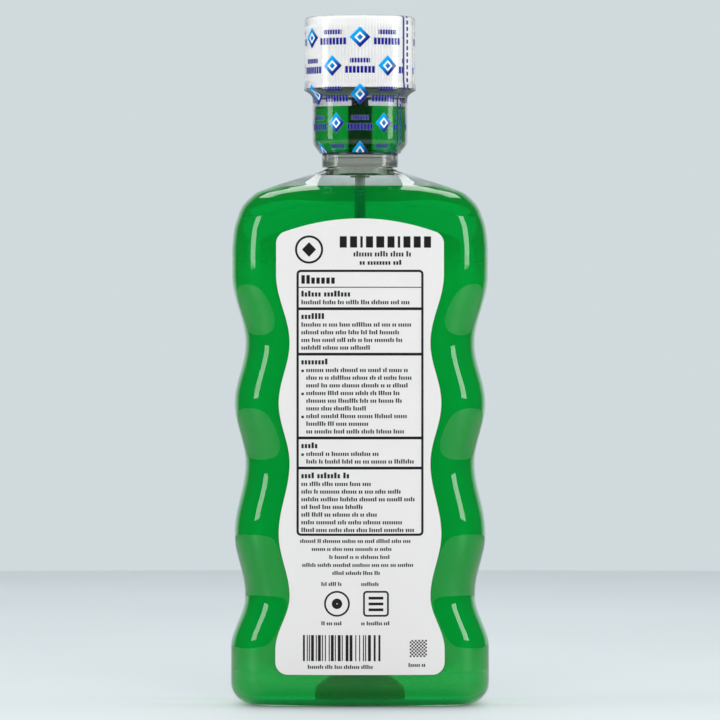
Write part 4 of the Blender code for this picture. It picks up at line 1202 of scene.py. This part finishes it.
def clear_plastic(net, tint, ior, waviness, rough, milky_ends, milky_colour, clearness):
    """Clear moulded plastic: a faint tint that varies, a skin that is not quite even, and a milky part."""
    broad = net.noise(WALL_WAVE)
    milky = net.fall(net.z, *milky_ends)
    tinted = net.mix(broad, tuple(c * DEEP_TINT_SHARE for c in tint), tint)
    net.surface(
        net.mix(milky, tinted, milky_colour), net.noise(WALL_HAZE, 3.0), rough, ends=HAZE_ENDS,
        Transmission_Weight=net.remap(milky, 0.0, 1.0, 1.0, clearness), IOR=ior,
    )
    net.bump(broad, waviness)


def green_liquid(net, cloudy, clear, low_clearness, high_clearness):
    """Dyed liquid, a little cloudy between base and shoulder, with a painted glow at its foot. What it
    doesn't let through it scatters.
    """
    broad = net.noise(LIQUID_WAVE, 1.0)
    clear_foot = net.times(net.rise(net.z, *CLEAR_FOOT), net.fall(net.z, *CLEAR_FOOT_END))
    clear_share = net.most(net.rise(net.z, *CLEAR_TOP), clear_foot)
    # painted glow: the lowest few millimetres get a brighter green that stands in for light gathered in the
    # base
    foot = net.fall(net.z, *PAINTED_GLOW_FOOT)
    light = net.mix(foot, net.mix(clear_share, cloudy, clear), (0.01, 0.82, 0.2))
    dark = net.mix(clear_share, *[tuple(c * DEEP_DYE_SHARE for c in colour) for colour in (cloudy, clear)])
    net.surface(
        net.mix(broad, net.mix(foot, dark, (0.01, 0.78, 0.18)), light), broad, (0.0, 0.01), IOR=1.34,
        Transmission_Weight=net.remap(clear_share, 0.0, 1.0, low_clearness, high_clearness),
    )


def label_film(net):
    """White film label with a fine coated grain and a few dull scuffs."""
    grain = net.noise(LABEL_GRAIN, 3.0)
    scuff = net.rise(net.noise(LABEL_SCUFF, 4.0, (1, 1, 0.25)), *SCUFF_ENDS)
    net.set(
        Base_Color=net.mix(net.noise(LABEL_CLOUD), (0.735, 0.705, 0.70), (0.775, 0.745, 0.738)),
        Roughness=net.plus(net.remap(grain, *GRAIN_ENDS, 0.3, 0.4), net.times(scuff, SCUFF_DULLNESS)),
    )
    net.bump(grain, GRAIN_DEPTH)


def printed_ink(net, *colours):
    grain = net.noise(INK_GRAIN, 3.0)
    net.surface(net.mix(grain, *colours), grain, (0.35, 0.5))


def front_label_film(net):
    """Printed film: a field that runs from cyan above to deep blue below, with a pale band across it."""
    field = net.mix(net.rise(net.z, *FIELD), (0.01, 0.03, 0.22), (0.0, 0.42, 0.66))
    height = net.minus(net.z, net.times(net.math("SINE", net.times(net.x, SWELL_COUNT)), SWELL))
    band = net.times(net.rise(height, *BAND_FOOT), net.fall(height, *BAND_TOP))
    pale = net.most(band, net.fall(height, *PALE_FOOT))
    colour = net.mix(pale, field, (0.8, 0.82, 0.82))
    net.surface(colour, net.noise(LABEL_GRAIN, 3.0), (0.28, 0.38), GRAIN_DEPTH)


def moulded(net, rough, grain_size, grain_depth, *colours):
    """Opaque moulded plastic, with a fine matt grain and faint flow clouds."""
    net.surface(net.mix(net.noise(MOULD_CLOUD), *colours), net.noise(grain_size, 3.0), rough, grain_depth)


def tube_plastic(net, *colours):
    """The dip tube's thin plastic, with painted shade: nearly black up to the level where it is full of
    liquid, pale above.
    """
    grain = net.noise(TUBE_GRAIN, 3.0)
    # painted shade: below the liquid's level the tube takes the dark colour, with faint flecks that follow
    # the grain
    share = net.plus(net.rise(net.z, LEVEL - GAP, LEVEL + GAP), net.times(grain, FLECK_SHARE), clamp=True)
    net.surface(net.mix(share, *colours), grain, (0.24, 0.36), GRAIN_DEPTH)


def foam(net):
    """Fine closed foam with a pressed skin."""
    cells = net.node("ShaderNodeTexVoronoi", net.spread(FOAM_CELL))
    net.feed(1.0, cells.inputs["Scale"])
    cell = cells.outputs[0]
    colour = net.mix(cell, (0.78, 0.78, 0.75), (0.62, 0.62, 0.6))
    net.surface(colour, cell, (0.7, 0.9), FOAM_DEPTH, CELL_ENDS)


def around(net):
    """How far round the sleeve a point lies, from the middle of the back."""
    return net.times(net.math("ARCTAN2", net.x, net.times(net.y, -1.0)), PRINT_RADIUS)


def film_print(net, share, colour):
    """Clear film with opaque ink where the share is 1, and with a painted shade, grey-green and less clear,
    where it is drawn in under the cap.
    """
    fine = net.noise(FILM_HAZE, 3.0, (1, 1, 0.15))
    low, high = [SLEEVE_SPLIT - SLEEVE_DRAW + rise for rise in UNDER_CAP_SHADE_FROM]
    # painted shade under the cap: the film there turns grey-green and less clear
    under_cap_shade = net.times(net.rise(net.z, low, high), net.below(net.z, SLEEVE_SPLIT))
    dull = net.most(share, net.times(under_cap_shade, UNDER_CAP_SHADE_DULLNESS))
    colour = net.mix(share, net.mix(under_cap_shade, (0.998, 0.998, 0.998), UNDER_CAP_SHADE_COLOUR), colour)
    net.surface(
        colour, fine, (0.05, 0.11), FILM_HAZE_DEPTH, FILM_HAZE_ENDS,
        Transmission_Weight=net.minus(1.0, dull), IOR=1.4,
    )


def block_line(net, across, up, half_length, middle, half_height, pitch):
    """A line of small upright blocks, as the share of ink."""
    blocks = net.within(net.repeated(across, pitch), 0.0, BLOCK_HALF_SHARE * pitch)
    return net.times(blocks, net.within(up, middle, half_height), net.within(across, 0.0, half_length))


def sleeve_film(net, print_reach):
    """Clear shrink film with staggered blue diamonds and lines of navy blocks between them."""
    row = net.math("FLOOR", net.over(net.z, MOTIF_ROW))
    across = net.plus(around(net), net.times(net.modulo(row, 2.0), MOTIF_PITCH / 2))
    cell_x = net.repeated(across, MOTIF_PITCH)
    cell_z = net.repeated(net.z, MOTIF_ROW)
    reach = net.plus(net.size(cell_x), net.size(cell_z))
    diamond = net.fall(reach, MOTIF_HALF - MOTIF_EDGE, MOTIF_HALF + MOTIF_EDGE)
    pale_ring = net.within(reach, MOTIF_HALF * MOTIF_RING_SHARE, MOTIF_RING_HALF, MOTIF_EDGE)
    word_x = net.repeated(across, MOTIF_PITCH, MOTIF_PITCH / 2)
    words = net.most(*[block_line(net, word_x, cell_z, *line) for line in BLOCK_LINES])
    shade = net.rise(net.minus(cell_x, cell_z), -MOTIF_HALF, MOTIF_HALF)
    blue = net.mix(shade, (0.0, 0.36, 0.85), (0.01, 0.012, 0.22))
    blue = net.mix(pale_ring, blue, (0.85, 0.87, 0.87))
    share = net.times(
        net.most(diamond, words), net.within(around(net), 0.0, print_reach),
        net.below(net.z, CAP_TOP - CAP_EDGE_ROUND),
    )
    film_print(net, share, net.mix(words, blue, (0.015, 0.012, 0.24)))


def strip_film(net):
    """The tear strip: a navy line along one edge and short dashes beside it."""
    middle = (STRIP_DIRECTION + math.pi / 2) * PRINT_RADIUS
    edge = middle - STRIP_HALF_ANGLE * PRINT_RADIUS
    line = net.within(around(net), edge + STRIP_LINE[0], STRIP_LINE[1])
    dash = net.within(around(net), middle + STRIP_DASH[0], STRIP_DASH[1])
    dashes = net.times(dash, net.within(net.repeated(net.z, DASH_PITCH), 0.0, DASH_HALF))
    film_print(net, net.most(line, dashes), (0.015, 0.01, 0.22))


def make_looks():
    return {
        "wall": material("clear_bottle_plastic", clear_plastic, *CLEAR_BOTTLE),
        "liquid": material("green_mouthwash", green_liquid, *MOUTHWASH),
        "dose": material("green_mouthwash_in_the_cup", green_liquid, *DOSE),
        "label": material("white_label_film", label_film),
        "front": material("printed_front_film", front_label_film),
        "ink": material("black_ink", printed_ink, (0.005, 0.005, 0.005), (0.012, 0.012, 0.012)),
        "pale_ink": material("white_ink", printed_ink, (0.8, 0.82, 0.82), (0.74, 0.76, 0.76)),
        # the tube's first colour is painted shade for the part below the liquid's level
        "tube": material("dip_tube_plastic_with_painted_shade", tube_plastic, (0.04, 0.07, 0.04), (0.42, 0.45, 0.42)),
        "natural": material("natural_plastic", moulded, *NATURAL),
        "cup": material("clear_cup_plastic", clear_plastic, *CLEAR_CUP),
        "dark": material("dark_plastic", moulded, *DARK),
        "cap": material("white_cap_plastic", moulded, *WHITE),
        "foam": material("liner_foam", foam),
        "film": material("printed_shrink_film", sleeve_film, CAP_RADIUS * math.tau),
        "lower_film": material("lower_printed_shrink_film", sleeve_film, LOWER_PRINT_REACH),
        "strip": material("tear_strip_film", strip_film),
    }


# Stage

def painted_contact_shadow(net):
    """How much painted shadow darkens the floor round the base: most beside the standing ring, less further
    out.
    """
    squares = []
    for place, half in ((net.x, BASE_BULGE_HALF), (net.y, HALF_DEPTH)):
        off = net.most(net.minus(net.size(place), half - BASE_ROUND - SHADE_ROUND), 0.0)
        squares.append(net.times(off, off))
    distance = net.minus(net.math("SQRT", net.plus(*squares)), SHADE_ROUND)
    fade = net.math("EXPONENT", net.over(distance, -SHADE_REACH))
    ends = net.remap(net.size(net.x), *SHADE_ENDS, 1.0, SHADE_END_SHARE)
    outside = net.rise(distance, -STAND_WIDTH, 0.0)
    return net.times(net.math("MINIMUM", fade, 1.0), SHADE_SHARE, ends, outside)


def table_top(net):
    soft = net.noise(FLOOR_CLOUD)
    pale = net.mix(soft, (0.65, 0.68, 0.695), (0.71, 0.74, 0.755))
    # painted shadow: the floor's colour is darkened round the bottle's base, not shaded by the lamps
    painted_shadow_floor = net.mix(painted_contact_shadow(net), pale, (0.02, 0.02, 0.022))
    net.surface(painted_shadow_floor, soft, (0.55, 0.65), Specular_IOR_Level=0.15)


def floor():
    """A round plain table top, centred on the bottle, with a painted shadow round the bottle's base."""
    form = Form(circles([(FLOOR_RADIUS * share, 0) for share in FLOOR_SHARES]), (0, 0, 0))
    made = build("stage_floor", form, material("pale_floor", table_top))
    made.location.z = -FLOOR_DROP


def world():
    """Pale all round. What surfaces mirror is dark, apart from straight behind, as in a dimmed studio."""
    net = Net(bpy.data.worlds.new("studio"), "Generated")
    pale = net.nodes["Background"]
    dark = net.node("ShaderNodeBackground")
    for background, strength in zip((pale, dark), WORLD_STRENGTHS):
        net.feed(WORLD_COLOUR, background.inputs["Color"])
        net.feed(strength, background.inputs["Strength"])
    side = net.node("ShaderNodeMapRange", net.y, *MIRRORED_SIDE).outputs[0]
    depth = net.node("ShaderNodeLightPath").outputs["Glossy Depth"]
    share = net.math("MULTIPLY", depth, side, clamp=True)
    mixed = net.node("ShaderNodeMixShader", share, pale.outputs[0], dark.outputs[0])
    net.feed(mixed.outputs[0], net.nodes["World Output"].inputs["Surface"])
    bpy.context.scene.world = net.made


def placed(name, data, location):
    made = bpy.data.objects.new(name, data)
    bpy.context.scene.collection.objects.link(made)
    made.location = location
    return made


def softbox(name, place, size, power, colour, mirrored_by_gloss):
    """An area light that faces the bottle's middle."""
    data = bpy.data.lights.new(name, "AREA")
    data.shape = "RECTANGLE"
    data.size, data.size_y = size
    data.energy = power
    data.color = colour
    lamp = placed(name, data, place)
    away = Vector(place) - Vector((0, 0, CAMERA_HEIGHT))
    lamp.rotation_euler = away.to_track_quat("Z", "Y").to_euler()
    lamp.visible_camera = False
    lamp.visible_transmission = False
    lamp.visible_glossy = mirrored_by_gloss


def stage():
    floor()
    world()
    for name, facts in SOFTBOXES.items():
        softbox(name, *facts)
    data = bpy.data.cameras.new("camera")
    data.lens = LENS_MM
    data.sensor_width = SENSOR_MM
    scene = bpy.context.scene
    scene.camera = placed("camera", data, (0, -CAMERA_DISTANCE, CAMERA_HEIGHT))
    scene.camera.rotation_euler = (math.pi / 2, 0, 0)
    scene.view_settings.view_transform = "Standard"
    for kind, count in BOUNCES.items():
        setattr(scene.cycles, kind + "_bounces", count)


def bottle(looks):
    dress(bottle_wall(looks["wall"]), "bottle", "clear_bottle", "bottle_shell").visible_shadow = False
    dress(bulk_liquid(looks["liquid"]), "bottle", "green_liquid", "mouthwash").visible_shadow = False
    white = looks["label"]
    dress(label_sheet("back_label_film", -1, white, white), "bottle", "label_film", "back_label")
    dress(label_sheet("front_label_film", 1, looks["front"], white), "bottle", "label_film", "front_label")
    dress(back_print(looks["ink"]), "bottle", "label_film")
    dress(front_print(looks["pale_ink"]), "bottle", "label_film")
    dress(dip_tube(looks["tube"]), "bottle", "natural_plastic", "dip_tube")
    dress(neck_plug(looks["natural"]), "bottle", "natural_plastic", "neck_plug")
    dress(dosing_cup(looks["cup"]), "bottle", "clear_cup", "dosing_cup").visible_shadow = False
    dress(standpipe(looks["dark"]), "bottle", "dark_plastic", "standpipe")
    dress(cup_dose(looks["dose"]), "bottle", "green_liquid", "dose")


def closure(looks):
    dress(ribbed_cap(looks["cap"]), "cap", "white_cap", "cap_shell")
    dress(sealing_disc(looks["foam"]), "liner", "liner_foam", "cap_liner")
    strip = looks["strip"]
    lower, lower_strip = film_pair("lower", lower_film_path(), looks["lower_film"], strip)
    upper, upper_strip = film_pair("upper", upper_film_path(), looks["film"], strip)
    dress(lower, "bottle", "printed_film", "lower_sleeve")
    dress(lower_strip, "lower_strip", "strip_film", "lower_tear_strip")
    dress(upper, "cap", "printed_film", "upper_sleeve")
    dress(upper_strip, "upper_strip", "strip_film", "upper_tear_strip")


stage()
looks = make_looks()
bottle(looks)
closure(looks)
